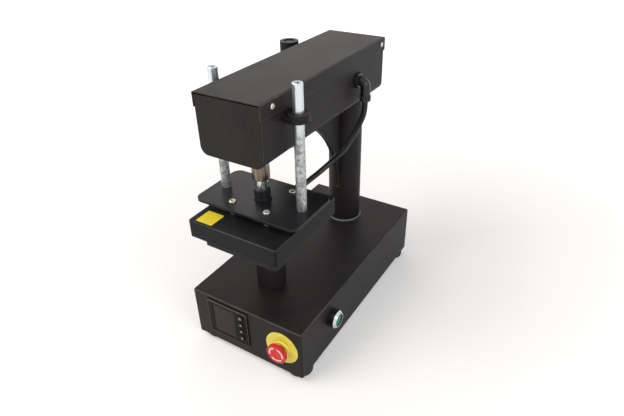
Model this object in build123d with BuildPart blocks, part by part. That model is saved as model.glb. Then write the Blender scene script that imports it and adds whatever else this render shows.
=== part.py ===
from build123d import *
import math
import os

# Pneumatic heat press, built piece by piece in millimetres
# The origin is on the bench under the middle of the press. Z is up, the front faces -Y.

os.makedirs("parts", exist_ok=True)

# Fits
running_fit = 0.05
loose_fit = 0.2
screw_clearance = 0.25

# Base box
base_width = 200.0
base_length = 380.0
base_height = 88.0
base_sheet = 2.0
base_bend = 4.0
base_corner = 3.0
base_lip = 14.0
foot_height = 12.0
foot_top_radius = 20.0
foot_floor_radius = 19.5
foot_edge = 1.5
foot_inset_x = 20.0
foot_inset_front = 25.0
foot_inset_rear = 20.0
foot_recess_radius = 6.5
foot_recess_depth = 7.0
vent_length = 60.0
vent_width = 4.0
vent_pitch = 12.0
vent_count = 9

# Press axis and column, set back from the front of the base
press_setback = 67.0
pedestal_setback = 73.0
column_setback = 308.0

# Lower platen on its post
pedestal_width = 36.0
pedestal_corner = 7.0
pedestal_wall = 3.0
pedestal_height = 96.5
pedestal_flange = 90.0
weld_flange = 6.0
pedestal_plug = 10.0
lower_platen_width = 124.0
lower_platen_length = 126.0
lower_platen_thick = 7.0
lower_platen_corner = 6.0
pad_thick = 10.5
pad_edge = 1.5
platen_screw_spacing = 18.0
platen_screw_radius = 3.0
platen_screw_head = 6.0
platen_screw_sink = 82.0
platen_screw_length = 14.0

# Heated platen
cover_width = 147.0
cover_length = 153.0
cover_height = 27.5
cover_sheet = 1.5
cover_bend = 3.0
plate_drop = 2.0
heating_plate_thick = 15.0
heating_plate_margin = 2.5
heating_plate_corner = 5.0
heating_plate_chamfer = 1.0
element_radius = 4.0
element_bend = 17.0
element_margin = 26.0
element_spread = 34.0
element_shoulder = 29.5
element_knee = 46.5
element_tail = 1.5
gland_x = 6.5
gland_height = 19.5
gland_radius = 8.0
gland_length = 9.5
gland_thread_radius = 6.0
gland_thread_length = 7.0
gland_pocket = 10.0
gland_step = 1.0

# Mounting plate, spacers and coupling
mounting_width = 169.0
mounting_length = 98.5
mounting_thick = 4.0
mounting_corner = 13.0
mounting_edge = 0.8
spacer_height = 13.5
spacer_radius = 4.75
spacer_inset_x = 44.5
spacer_inset_y = 45.0
platen_pan_radius = 2.5
platen_pan_head = 5.0
platen_pan_height = 3.0
platen_tap_depth = 11.0
coupling_radius = 11.5
coupling_height = 17.0
coupling_chamfer = 1.0
coupling_ring_radius = 13.0
coupling_ring_height = 2.0
coupling_flat_height = 8.0
coupling_across_flats = 20.0
rod_stud_radius = 6.0
neck_radius = 9.0
neck_length = 14.0
rod_screw_radius = 4.0
rod_screw_head_radius = 6.5
rod_screw_head_height = 5.0
centre_screw_radius = 5.0
centre_screw_head_radius = 8.0
socket_flats = 6.0
socket_depth = 2.5

# Guide rods, bushes and brackets
guide_spacing = 130.0
guide_radius = 7.0
guide_stand = 12.0
guide_chamfer = 1.0
guide_tap_radius = 3.4
guide_tap_depth = 16.0
guide_tap_rim = 5.0
guide_tap_rim_depth = 1.2
bracket_wall = 6.0
bracket_thick = 8.0
bracket_drop = 36.0
bracket_edge = 1.0
bush_wall = 2.0
bush_flange_reach = 5.0
bush_flange_height = 3.0
bush_tail = 3.0
bush_lead = 1.0

# Head box
throat_height = 241.0
head_setback = 10.0
head_width = 102.0
head_length = 330.0
head_height = 84.0
head_sheet = 2.0
head_bend = 12.0
end_recess = 0.5
end_edge = 0.8
shadow_gap = 2.0
lid_sheet = 1.5
lid_flange = 20.0
lid_bend = 2.5
lid_gap = 0.1
lid_screw_drop = 8.5
lid_screw_front = 23.0
lid_screw_rear = 14.0
pan_radius = 3.75
pan_height = 2.3
pan_dome = 1.4
pan_shank_radius = 2.0
cross_reach = 0.55
cross_width = 0.2
cross_depth = 0.45
cover_screw_length = 3.8
exhaust_slot_length = 40.0
exhaust_slot_width = 4.0
exhaust_slot_pitch = 10.0
exhaust_slot_count = 4

# Column and gusset
column_radius = 28.5
column_wall = 3.0
column_base_flange = 100.0
column_head_flange = 74.0
flange_corner = 8.0
weld_ring_radius = 31.0
weld_ring_height = 3.0
gusset_thick = 8.0
gusset_arc = 172.0
gusset_nose = 12.0

# Air cylinder
stroke = 30.0
stiffener_thick = 8.0
stiffener_width = 74.0
cylinder_width = 94.0
cylinder_corner = 6.0
cylinder_bore_radius = 40.0
cylinder_floor = 12.0
cylinder_cap = 8.0
cylinder_end_play = 2.5
cylinder_bolt_spacing = 58.0
cylinder_bolt_radius = 4.0
cylinder_bolt_grip = 10.0
bolt_head_flats = 13.0
bolt_head_height = 5.3
bolt_washer_radius = 8.0
bolt_washer_height = 1.6
piston_thick = 15.0
piston_edge = 1.0
seal_groove_depth = 2.0
seal_groove_height = 4.0
piston_rod_radius = 12.5
piston_rod_chamfer = 1.5
sensor_slot_width = 4.2
sensor_slot_depth = 4.5
sensor_slot_offset = 18.0
port_spread = 7.0
lower_port_rise = 9.0
upper_port_drop = 11.0

# Solenoid valve, fittings and air tubes in the head
valve_width = 30.0
valve_length = 50.0
valve_height = 35.0
valve_x = 13.0
valve_setback = 204.0
valve_edge = 1.5
coil_width = 22.0
coil_length = 16.0
coil_height = 26.0
valve_base = 3.0
fitting_hex_flats = 12.0
fitting_hex_height = 5.0
fitting_radius = 5.5
fitting_length = 14.0
fitting_ring_radius = 4.4
fitting_ring_height = 2.0
fitting_stub_radius = 4.5
fitting_stub_length = 5.0
tube_radius = 3.0
tube_bore_radius = 2.0
tube_seat = 7.0
tube_run = 24.0
tube_bend = 28.0
tube_corner = 18.0

# Pressure regulator with gauge and filter bowl
regulator_x = 83.0
regulator_setback = 270.0
regulator_width = 40.0
regulator_edge = 2.5
bonnet_radius = 16.5
bonnet_height = 13.0
knob_radius = 15.0
knob_height = 20.5
knob_gap = 0.5
knob_recess_radius = 9.0
knob_recess_depth = 1.5
knob_rib_count = 24
knob_rib_radius = 0.7
knob_spindle_radius = 4.0
knob_spindle_height = 10.0
inlet_radius = 5.9
inlet_depth = 14.0
nipple_radius = 6.5
nipple_nut_flats = 19.0
nipple_nut_height = 4.0
banjo_width = 14.0
bowl_radius = 17.5
bowl_height = 38.0
bowl_round = 8.0
bowl_drain_radius = 5.0
bowl_drain_height = 7.0
gauge_radius = 19.5
gauge_depth = 20.0
gauge_wall = 1.5
gauge_dial_depth = 6.0
gauge_edge = 1.0
gauge_stem_radius = 5.0
gauge_stem_length = 6.0
needle_length = 14.0
needle_tail = 5.0
needle_width = 1.6
needle_thick = 0.6
needle_hub_radius = 2.2
needle_hub_height = 2.0
needle_clearance = 0.6
needle_spindle_radius = 0.8
needle_spindle_length = 3.0
needle_rest_angle = 225.0

# Heater cable elbow on the right wall of the head
elbow_setback = 251.0
elbow_drop = 43.0
elbow_reach = 14.1
elbow_radius = 7.5
elbow_bend = 9.0
elbow_fall = 20.0
elbow_bore_radius = 5.5
elbow_flange_flats = 21.0
elbow_flange_height = 4.0
elbow_thread_radius = 8.0
elbow_thread_length = 6.0
elbow_nut_radius = 8.5
elbow_nut_height = 10.0
elbow_nut_chamfer = 1.2
nut_flute_count = 12
nut_flute_radius = 1.0
cable_radius = 4.5
arc_share = 0.45

# Controller in the front wall
controller_x = -33.5
controller_z = 49.0
controller_width = 77.0
controller_height = 66.0
controller_proud = 3.0
controller_edge = 1.0
controller_panel_margin = 3.0
controller_depth = 45.0
window_x = -39.25
window_z = 49.25
window_width = 41.5
window_height = 53.5
window_thick = 1.5
window_recess = 0.5
window_pocket = 4.0
key_x = -6.5
key_z = 51.4
key_pitch = 13.4
key_count = 4
key_size = 8.0
key_gap = 0.3
key_proud = 1.5
key_travel = 1.0
key_depth = 4.0
key_edge = 0.5
key_stem_radius = 1.5
key_stem_length = 6.0
window_ledge = 1.5

# Emergency stop in the front wall
estop_x = 66.0
estop_z = 47.5
estop_proud = 17.0
estop_travel = 5.0
button_end_gap = 0.5
estop_disc_radius = 27.5
estop_disc_thick = 1.5
estop_flange_radius = 13.0
estop_flange_height = 2.0
panel_thread_radius = 11.0
panel_thread_length = 18.0
panel_nut_flats = 30.0
panel_nut_height = 4.0
estop_stem_radius = 7.0
estop_spigot_radius = 4.0
estop_spigot_length = 4.5
estop_head_radius = 16.0
estop_head_waist = 13.0
estop_skirt_back = 10.5
estop_skirt_front = 15.5
estop_face_radius = 14.5
estop_dish_radius = 12.5
estop_dish = 0.8
estop_hub_radius = 6.5
estop_hub = 0.5

# Two start buttons, one on each side wall
start_setback = 85.5
start_z = 53.5
start_radius = 14.5
start_proud = 14.0
start_barrel = 9.0
start_rim_radius = 11.5
start_rim_side = 1.5
start_bore_radius = 10.0
start_cap_recess = 1.5
start_cap_back = 7.0
start_cap_clearance = 0.15
start_cap_edge = 0.8
start_travel = 3.5
start_stem_radius = 5.0
start_thread_back = 12.0
contact_width = 26.0
contact_height = 36.0
contact_depth = 22.0
contact_edge = 1.0

# Power inlet with rocker switch in the rear wall
inlet_x = -50.0
inlet_z = 46.0
inlet_width = 31.0
inlet_height = 52.0
inlet_flange = 2.5
inlet_body_margin = 2.0
inlet_body_depth = 28.0
inlet_corner = 2.0
inlet_edge = 0.6
socket_width = 24.0
socket_height = 17.0
socket_corner = 5.0
socket_edge = 1.5
socket_drop = 11.0
socket_hollow = 18.0
pin_spacing = 7.0
pin_thick = 2.0
pin_height = 4.0
pin_length = 13.0
rocker_rise = 14.5
rocker_width = 20.0
rocker_height = 12.0
rocker_face = 7.0
rocker_waist = 0.8
rocker_back = 4.0
rocker_tilt = 10.0
rocker_pivot_depth = 5.0
rocker_pin_radius = 1.5
rocker_pin_length = 1.0
rocker_side_gap = 0.4
rocker_end_gap = 1.3
rocker_well_depth = 11.0
relay_width = 45.0
relay_length = 58.0
relay_height = 24.0
relay_edge = 1.5
relay_setback = 190.0
relay_terminal_radius = 3.5
relay_terminal_height = 3.0

# Levels, from the bench up
base_top = foot_height + base_height
platen_bottom = base_top + pedestal_height
platen_top = platen_bottom + lower_platen_thick
press_level = platen_top + pad_thick
heating_plate_top = press_level + heating_plate_thick
cover_bottom = press_level + plate_drop
cover_top = cover_bottom + cover_height
mounting_bottom = cover_top + spacer_height
mounting_top = mounting_bottom + mounting_thick
head_bottom = base_top + throat_height
head_top = head_bottom + head_height
channel_floor = head_bottom + head_sheet
channel_top = head_top - lid_sheet - shadow_gap
cylinder_bottom = channel_floor + stiffener_thick
chamber_bottom = cylinder_bottom + cylinder_floor
piston_bottom = chamber_bottom + cylinder_end_play
piston_top = piston_bottom + piston_thick
chamber_top = piston_top + stroke + cylinder_end_play
cylinder_top = chamber_top + cylinder_cap
guide_top = head_top + guide_stand
bracket_top = head_top - bracket_drop + bracket_thick
bracket_bottom = bracket_top - bracket_thick
bush_radius = guide_radius + bush_wall
bush_flange_radius = bush_radius + bush_flange_reach
bracket_radius = bush_radius + bracket_wall
coupling_top = mounting_top + coupling_height
rod_shoulder = coupling_top + neck_length
floor_inside = foot_height + base_sheet

# Places across and along
rocker_lean = math.radians(rocker_tilt)
rocker_reach = rocker_face * math.cos(rocker_lean) + rocker_height / 2 * math.sin(rocker_lean)
rear_proud = inlet_flange + rocker_reach - rocker_pivot_depth
front_y = -(base_length + rear_proud - estop_proud) / 2
rear_y = front_y + base_length
base_middle_y = (front_y + rear_y) / 2
press_y = front_y + press_setback
pedestal_y = front_y + pedestal_setback
column_y = front_y + column_setback
head_front_y = front_y + head_setback
head_rear_y = head_front_y + head_length
head_middle_y = (head_front_y + head_rear_y) / 2
channel_front_y = head_front_y + end_recess + head_sheet
channel_rear_y = head_rear_y - end_recess - head_sheet
channel_width = head_width - 2 * (lid_sheet + lid_gap)
channel_inside = channel_width - 2 * head_sheet
wall_x = base_width / 2
head_wall_x = channel_width / 2
elbow_y = front_y + elbow_setback
elbow_z = head_top - elbow_drop
regulator_y = front_y + regulator_setback
valve_y = front_y + valve_setback
regulator_z = channel_floor + valve_base + regulator_width / 2
estop_seat = Vector(estop_x, front_y, estop_z + foot_height)
start_y = front_y + start_setback
start_level = start_z + foot_height
lid_screw_z = head_top - lid_screw_drop
lid_screw_ys = (head_front_y + lid_screw_front, head_rear_y - lid_screw_rear)
gland_z = cover_bottom + gland_height
foot_x = base_width / 2 - foot_inset_x
foot_ys = (front_y + foot_inset_front, rear_y - foot_inset_rear)
foot_places = [(side * foot_x, y) for side in (-1, 1) for y in foot_ys]
to_front = Vector(0, -1, 0)
to_rear = Vector(0, 1, 0)
to_right = Vector(1, 0, 0)
to_left = Vector(-1, 0, 0)
upward = Vector(0, 0, 1)
downward = Vector(0, 0, -1)


def level(height):
    return Plane.XY.offset(height)


# On this plane sketch x is X and sketch y is Z, and a positive extrude runs to the front
def facing_front(y):
    return Plane.XZ.offset(-y)


# On this plane sketch x is Y and sketch y is Z, and a positive extrude runs to the right
def facing_right(x):
    return Plane.YZ.offset(x)


# On this plane sketch x is a radius and sketch y runs along the turning axis
def turning_plane(origin, direction):
    radial = upward if abs(direction.Z) < 0.5 else to_right
    return Plane(origin=origin, x_dir=radial, z_dir=radial.cross(direction))


# The place of a template whose own Z axis is to point along the direction
def pointing(origin, direction):
    return Plane(origin=origin, z_dir=direction)


# A solid of revolution from radius and height pairs that start and end on the axis
def turned(profile, origin, direction):
    with BuildPart() as blank:
        with BuildSketch(turning_plane(origin, direction)):
            with BuildLine():
                Polyline(*profile, close=True)
            make_face()
        revolve(axis=Axis(origin, direction))
    return blank.part


# Screw and fitting templates, each with its seat at the origin and its head along Z
# The cross recess is given as shares of the head's radius and height
def pan_head_screw(head_radius, head_height, shank_radius, shank_length):
    with BuildPart() as screw:
        with BuildSketch(Plane.XY):
            Circle(head_radius)
        extrude(amount=head_height)
        fillet(screw.faces().sort_by(Axis.Z)[-1].edges(), radius=pan_dome)
        with BuildSketch(level(head_height)):
            Rectangle(2 * cross_reach * head_radius, cross_width * head_radius)
            Rectangle(cross_width * head_radius, 2 * cross_reach * head_radius)
        extrude(amount=-cross_depth * head_height, mode=Mode.SUBTRACT)
        with BuildSketch(Plane.XY):
            Circle(shank_radius)
        extrude(amount=-shank_length)
    return screw.part


platen_screw_grip = mounting_top - heating_plate_top + platen_tap_depth
cover_screw = pan_head_screw(pan_radius, pan_height, pan_shank_radius, cover_screw_length)
foot_screw = pan_head_screw(pan_radius, pan_height, pan_shank_radius, foot_height - foot_recess_depth + base_sheet)
platen_pan_screw = pan_head_screw(platen_pan_head, platen_pan_height, platen_pan_radius, platen_screw_grip)


# A low head socket screw whose head stands above the seat and whose shank runs below it
def socket_screw(head_radius, head_height, shank_radius, shank_length):
    with BuildPart() as screw:
        with BuildSketch(Plane.XY):
            Circle(head_radius)
        extrude(amount=head_height)
        chamfer(screw.faces().sort_by(Axis.Z)[-1].edges(), length=head_height / 10)
        with BuildSketch(level(head_height)):
            RegularPolygon(socket_flats / 2, 6, major_radius=False)
        extrude(amount=-socket_depth, mode=Mode.SUBTRACT)
        with BuildSketch(Plane.XY):
            Circle(shank_radius)
        extrude(amount=-shank_length)
    return screw.part


rod_screw = socket_screw(
    rod_screw_head_radius, rod_screw_head_height, rod_screw_radius, mounting_thick + guide_tap_depth / 2
)
centre_screw = socket_screw(
    centre_screw_head_radius, rod_screw_head_height, centre_screw_radius, mounting_thick + coupling_height / 2
)

with BuildPart() as cylinder_bolt:
    with BuildSketch(Plane.XY):
        Circle(bolt_washer_radius)
    extrude(amount=bolt_washer_height)
    with BuildSketch(level(bolt_washer_height)):
        RegularPolygon(bolt_head_flats / 2, 6, major_radius=False)
    extrude(amount=bolt_head_height)
    with BuildSketch(Plane.XY):
        Circle(cylinder_bolt_radius)
    extrude(amount=-(head_sheet + stiffener_thick + cylinder_bolt_grip))

with BuildPart() as push_fitting:
    with BuildSketch(Plane.XY):
        RegularPolygon(fitting_hex_flats / 2, 6, major_radius=False)
    extrude(amount=fitting_hex_height)
    with BuildSketch(level(fitting_hex_height)):
        Circle(fitting_radius)
    extrude(amount=fitting_length - fitting_hex_height - fitting_ring_height)
    with BuildSketch(level(fitting_length - fitting_ring_height)):
        Circle(fitting_ring_radius)
    extrude(amount=fitting_ring_height)
    with BuildSketch(Plane.XY):
        Circle(fitting_stub_radius)
    extrude(amount=-fitting_stub_length)
    with BuildSketch(level(fitting_length)):
        Circle(tube_radius)
    extrude(amount=-tube_seat, mode=Mode.SUBTRACT)

# Base shell: one folded sheet box, open below, with the panel cut-outs
lip_middle = wall_x - base_sheet - base_lip / 2
plate_screw_ys = [base_middle_y + step * base_length / 3 for step in (-1, 0, 1)]
plate_screw_places = [(side * lip_middle, y) for side in (-1, 1) for y in plate_screw_ys]
with BuildPart() as base_shell:
    with BuildSketch(level(foot_height)):
        with Locations((0, base_middle_y)):
            Rectangle(base_width, base_length)
    extrude(amount=base_height)
    fillet(base_shell.edges().filter_by(Axis.Z), radius=base_corner)
    fillet(base_shell.faces().sort_by(Axis.Z)[-1].edges(), radius=base_bend - base_sheet / 2)
    offset(amount=-base_sheet, openings=base_shell.faces().sort_by(Axis.Z)[0])
    with BuildSketch(level(floor_inside)):
        for side in (-1, 1):
            with Locations((side * (lip_middle + base_sheet / 4), base_middle_y)):
                Rectangle(base_lip + base_sheet / 2, base_length - 2 * base_bend)
    extrude(amount=base_sheet)
    with BuildSketch(facing_front(front_y)):
        with Locations((controller_x, controller_z + foot_height)):
            Rectangle(
                controller_width - 2 * controller_panel_margin + loose_fit,
                controller_height - 2 * controller_panel_margin + loose_fit,
            )
        with Locations((estop_x, estop_z + foot_height)):
            Circle(panel_thread_radius + screw_clearance)
    extrude(amount=-base_sheet, mode=Mode.SUBTRACT)
    with BuildSketch(facing_front(rear_y)):
        with Locations((inlet_x, inlet_z + foot_height)):
            Rectangle(
                inlet_width - 2 * inlet_body_margin + loose_fit,
                inlet_height - 2 * inlet_body_margin + loose_fit,
            )
    extrude(amount=base_sheet, mode=Mode.SUBTRACT)
    with BuildSketch(facing_right(0)):
        with Locations((start_y, start_level)):
            Circle(panel_thread_radius + screw_clearance)
    extrude(amount=base_width, both=True, mode=Mode.SUBTRACT)
    with BuildSketch(level(base_top)):
        with Locations((0, column_y)):
            Circle(column_radius + loose_fit)
        with Locations((0, pedestal_y)):
            RectangleRounded(
                pedestal_width + 2 * loose_fit, pedestal_width + 2 * loose_fit, pedestal_corner + loose_fit
            )
    extrude(amount=-base_sheet, mode=Mode.SUBTRACT)
    with BuildSketch(level(floor_inside)):
        with Locations(*plate_screw_places):
            Circle(pan_shank_radius)
    extrude(amount=base_sheet, mode=Mode.SUBTRACT)
base_shell.part.label = "base_shell"
export_step(base_shell.part, "parts/base_shell.step")

# Base plate: closes the box from below, with vent slots
with BuildPart() as base_plate:
    with BuildSketch(level(foot_height)):
        with Locations((0, base_middle_y)):
            RectangleRounded(
                base_width - 2 * base_sheet - 2 * loose_fit,
                base_length - 2 * base_sheet - 2 * loose_fit,
                base_corner,
            )
        with Locations(*plate_screw_places):
            Circle(pan_shank_radius + screw_clearance, mode=Mode.SUBTRACT)
        with Locations(*foot_places):
            Circle(pan_shank_radius, mode=Mode.SUBTRACT)
        with Locations((0, base_middle_y)):
            with GridLocations(vent_length, vent_pitch, 1, vent_count):
                SlotOverall(vent_length, vent_width, mode=Mode.SUBTRACT)
    extrude(amount=base_sheet)
base_plate.part.label = "base_plate"
export_step(base_plate.part, "parts/base_plate.step")

# Four tapered rubber feet with a recess for their screws
foot_taper = math.degrees(math.atan((foot_top_radius - foot_floor_radius) / foot_height))
with BuildPart() as base_feet:
    with BuildSketch(level(0)):
        with Locations(*foot_places):
            Circle(foot_floor_radius)
    extrude(amount=foot_height, taper=-foot_taper)
    chamfer(base_feet.faces().group_by(Axis.Z)[0].edges(), length=foot_edge)
    with Locations(*[(x, y, 0) for x, y in foot_places]):
        with Locations(pointing((0, 0, 0), downward)):
            CounterBoreHole(pan_shank_radius + screw_clearance, foot_recess_radius, foot_recess_depth, foot_height)
base_feet.part.label = "base_feet"
export_step(base_feet.part, "parts/base_feet.step")

# Pan head screws of the lid, the base plate and the feet
with BuildPart() as cover_screws:
    for y in lid_screw_ys:
        for direction in (to_left, to_right):
            seat = Vector(direction.X * head_width / 2, y, lid_screw_z)
            with Locations(pointing(seat, direction)):
                add(cover_screw)
    for x, y in plate_screw_places:
        with Locations(pointing((x, y, foot_height), downward)):
            add(cover_screw)
    for x, y in foot_places:
        with Locations(pointing((x, y, foot_recess_depth), downward)):
            add(foot_screw)
cover_screws.part.label = "cover_screws"
export_step(cover_screws.part, "parts/cover_screws.step")

# Column tube from the flange under the base sheet up into the head
with BuildPart() as column_tube:
    with BuildSketch(level(base_top - base_sheet - weld_flange)):
        with Locations((0, column_y)):
            Circle(column_radius)
            Circle(column_radius - column_wall, mode=Mode.SUBTRACT)
    extrude(amount=channel_floor + weld_flange - (base_top - base_sheet - weld_flange))
column_tube.part.label = "column_tube"
export_step(column_tube.part, "parts/column_tube.step")

# Column flanges: under the base sheet, around the foot of the tube, and on the floor of the head
with BuildPart() as column_flanges:
    with BuildSketch(level(base_top - base_sheet - weld_flange)):
        with Locations((0, column_y)):
            RectangleRounded(column_base_flange, column_base_flange, flange_corner)
            Circle(column_radius, mode=Mode.SUBTRACT)
    extrude(amount=weld_flange)
    with BuildSketch(level(channel_floor)):
        with Locations((0, column_y)):
            RectangleRounded(column_head_flange, column_head_flange, flange_corner)
            Circle(column_radius, mode=Mode.SUBTRACT)
        with Locations((0, channel_rear_y)):
            Rectangle(
                column_head_flange,
                column_head_flange,
                align=(Align.CENTER, Align.MIN),
                mode=Mode.SUBTRACT,
            )
    extrude(amount=weld_flange)
    with BuildSketch(level(base_top)):
        with Locations((0, column_y)):
            Circle(weld_ring_radius)
            Circle(column_radius, mode=Mode.SUBTRACT)
    extrude(amount=weld_ring_height)
    weld_rim = column_flanges.edges().filter_by(GeomType.CIRCLE).filter_by_position(
        Axis.Z, base_top + weld_ring_height, base_top + weld_ring_height
    )
    chamfer(weld_rim.sort_by(SortBy.RADIUS)[-1], length=(weld_ring_radius - column_radius) / 2)
column_flanges.part.label = "column_flanges"
export_step(column_flanges.part, "parts/column_flanges.step")

# Gusset rib in the corner of head and column, its free edge an arc that runs into the tube
column_front_y = column_y - column_radius
arc_middle_y = column_front_y - gusset_arc
arc_foot_z = head_bottom - gusset_arc
nose_z = head_bottom - gusset_nose
nose_y = arc_middle_y + math.sqrt(gusset_arc**2 - (nose_z - arc_foot_z) ** 2)
arc_half_angle = math.atan2(nose_z - arc_foot_z, nose_y - arc_middle_y) / 2
with BuildPart() as column_gusset:
    with BuildSketch(facing_right(-gusset_thick / 2)):
        with BuildLine():
            Polyline((nose_y, nose_z), (nose_y, head_bottom), (column_y, head_bottom), (column_y, arc_foot_z))
            Line((column_y, arc_foot_z), (column_front_y, arc_foot_z))
            ThreePointArc(
                (column_front_y, arc_foot_z),
                (
                    arc_middle_y + gusset_arc * math.cos(arc_half_angle),
                    arc_foot_z + gusset_arc * math.sin(arc_half_angle),
                ),
                (nose_y, nose_z),
            )
        make_face()
    extrude(amount=gusset_thick)
    with BuildSketch(level(arc_foot_z)):
        with Locations((0, column_y)):
            Circle(column_radius)
    extrude(amount=gusset_arc, mode=Mode.SUBTRACT)
column_gusset.part.label = "column_gusset"
export_step(column_gusset.part, "parts/column_gusset.step")

# Pedestal post: a square tube with a welded foot flange and a tapped plug in its top
with BuildPart() as pedestal_post:
    with BuildSketch(level(base_top - base_sheet - weld_flange)):
        with Locations((0, pedestal_y)):
            RectangleRounded(pedestal_flange, pedestal_flange, flange_corner)
    extrude(amount=weld_flange)
    with BuildSketch(level(base_top - base_sheet)):
        with Locations((0, pedestal_y)):
            RectangleRounded(pedestal_width, pedestal_width, pedestal_corner)
    extrude(amount=base_sheet + pedestal_height)
    with BuildSketch(level(base_top - base_sheet - weld_flange)):
        with Locations((0, pedestal_y)):
            RectangleRounded(
                pedestal_width - 2 * pedestal_wall,
                pedestal_width - 2 * pedestal_wall,
                pedestal_corner - pedestal_wall,
            )
    extrude(amount=weld_flange + base_sheet + pedestal_height - pedestal_plug, mode=Mode.SUBTRACT)
    with Locations(level(platen_bottom)):
        with Locations((0, pedestal_y)):
            with GridLocations(platen_screw_spacing, platen_screw_spacing, 2, 2):
                Hole(platen_screw_radius, depth=pedestal_plug)
pedestal_post.part.label = "pedestal_post"
export_step(pedestal_post.part, "parts/pedestal_post.step")

# Lower platen with countersunk holes over the post
with BuildPart() as lower_platen:
    with BuildSketch(level(platen_bottom)):
        with Locations((0, press_y)):
            RectangleRounded(lower_platen_width, lower_platen_length, lower_platen_corner)
    extrude(amount=lower_platen_thick)
    with Locations(level(platen_top)):
        with Locations((0, pedestal_y)):
            with GridLocations(platen_screw_spacing, platen_screw_spacing, 2, 2):
                CounterSinkHole(
                    platen_screw_radius, platen_screw_head, lower_platen_thick, platen_screw_sink
                )
lower_platen.part.label = "lower_platen"
export_step(lower_platen.part, "parts/lower_platen.step")

# Countersunk screws, flush under the pad
sink_depth = (platen_screw_head - platen_screw_radius) / math.tan(math.radians(platen_screw_sink / 2))
sunk_screw_profile = (
    (0, 0),
    (platen_screw_head, 0),
    (platen_screw_radius, -sink_depth),
    (platen_screw_radius, -platen_screw_length),
    (0, -platen_screw_length),
)
sunk_screw = turned(sunk_screw_profile, Vector(0, 0, 0), upward)
with BuildPart() as platen_screws:
    with Locations(level(platen_top)):
        with Locations((0, pedestal_y)):
            with GridLocations(platen_screw_spacing, platen_screw_spacing, 2, 2):
                add(sunk_screw)
platen_screws.part.label = "platen_screws"
export_step(platen_screws.part, "parts/platen_screws.step")

# Silicone press pad on the lower platen
with BuildPart() as lower_pad:
    with BuildSketch(level(platen_top)):
        with Locations((0, press_y)):
            RectangleRounded(lower_platen_width, lower_platen_length, lower_platen_corner)
    extrude(amount=pad_thick)
    fillet(lower_pad.faces().sort_by(Axis.Z)[-1].edges(), radius=pad_edge)
lower_pad.part.label = "lower_pad"
export_step(lower_pad.part, "parts/lower_pad.step")

# Head channel: a bent U with the stiffener under the cylinder welded to its floor
rod_hole_radius = piston_rod_radius + loose_fit
cylinder_bolt_places = [
    (sx * cylinder_bolt_spacing / 2, press_y + sy * cylinder_bolt_spacing / 2) for sx in (-1, 1) for sy in (-1, 1)
]
with BuildPart() as head_channel:
    with BuildSketch(level(head_bottom)):
        with Locations((0, head_middle_y)):
            Rectangle(channel_width, channel_rear_y - channel_front_y)
    extrude(amount=channel_top - head_bottom)
    fillet(head_channel.edges().filter_by(Axis.Y).group_by(Axis.Z)[0], radius=head_bend)
    channel_ends = head_channel.faces().sort_by(Axis.Y)
    offset(
        amount=-head_sheet,
        openings=[channel_ends[0], channel_ends[-1], head_channel.faces().sort_by(Axis.Z)[-1]],
    )
    with BuildSketch(level(channel_floor)):
        with Locations((0, press_y)):
            Rectangle(stiffener_width, cylinder_width)
    extrude(amount=stiffener_thick)
    with BuildSketch(level(head_bottom)):
        with Locations((0, press_y)):
            Circle(rod_hole_radius)
        with Locations(*cylinder_bolt_places):
            Circle(cylinder_bolt_radius)
        with Locations((0, column_y)):
            Circle(column_radius)
    extrude(amount=head_sheet + stiffener_thick, mode=Mode.SUBTRACT)
    with BuildSketch(facing_right(head_wall_x)):
        with Locations(*[(y, lid_screw_z) for y in lid_screw_ys]):
            Circle(pan_shank_radius)
        with Locations((elbow_y, elbow_z)):
            Circle(elbow_thread_radius)
    extrude(amount=-head_sheet, mode=Mode.SUBTRACT)
    with BuildSketch(facing_right(-head_wall_x)):
        with Locations(*[(y, lid_screw_z) for y in lid_screw_ys]):
            Circle(pan_shank_radius)
        with Locations((regulator_y, regulator_z)):
            Circle(nipple_radius)
    extrude(amount=head_sheet, mode=Mode.SUBTRACT)
head_channel.part.label = "head_channel"
export_step(head_channel.part, "parts/head_channel.step")

# Front panel, welded on the end of the channel a little behind the front edge of the lid
with BuildPart() as head_front_panel:
    with BuildSketch(level(head_bottom)):
        with Locations((0, head_front_y + end_recess)):
            Rectangle(channel_width, head_sheet, align=(Align.CENTER, Align.MIN))
    extrude(amount=channel_top - head_bottom)
    fillet(head_front_panel.edges().filter_by(Axis.Y).group_by(Axis.Z)[0], radius=head_bend)
    fillet(head_front_panel.faces().sort_by(Axis.Y)[0].edges(), radius=end_edge)
head_front_panel.part.label = "head_front_panel"
export_step(head_front_panel.part, "parts/head_front_panel.step")

# Rear panel with slots that let the exhaust air of the valve out
with BuildPart() as head_rear_panel:
    with BuildSketch(level(head_bottom)):
        with Locations((0, head_rear_y - end_recess)):
            Rectangle(channel_width, head_sheet, align=(Align.CENTER, Align.MAX))
    extrude(amount=channel_top - head_bottom)
    fillet(head_rear_panel.edges().filter_by(Axis.Y).group_by(Axis.Z)[0], radius=head_bend)
    fillet(head_rear_panel.faces().sort_by(Axis.Y)[-1].edges(), radius=end_edge)
    with BuildSketch(facing_front(head_rear_y)):
        with Locations((0, (head_bottom + head_top) / 2)):
            with GridLocations(exhaust_slot_length, exhaust_slot_pitch, 1, exhaust_slot_count):
                SlotOverall(exhaust_slot_length, exhaust_slot_width)
    extrude(amount=end_recess + head_sheet, mode=Mode.SUBTRACT)
head_rear_panel.part.label = "head_rear_panel"
export_step(head_rear_panel.part, "parts/head_rear_panel.step")

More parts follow.
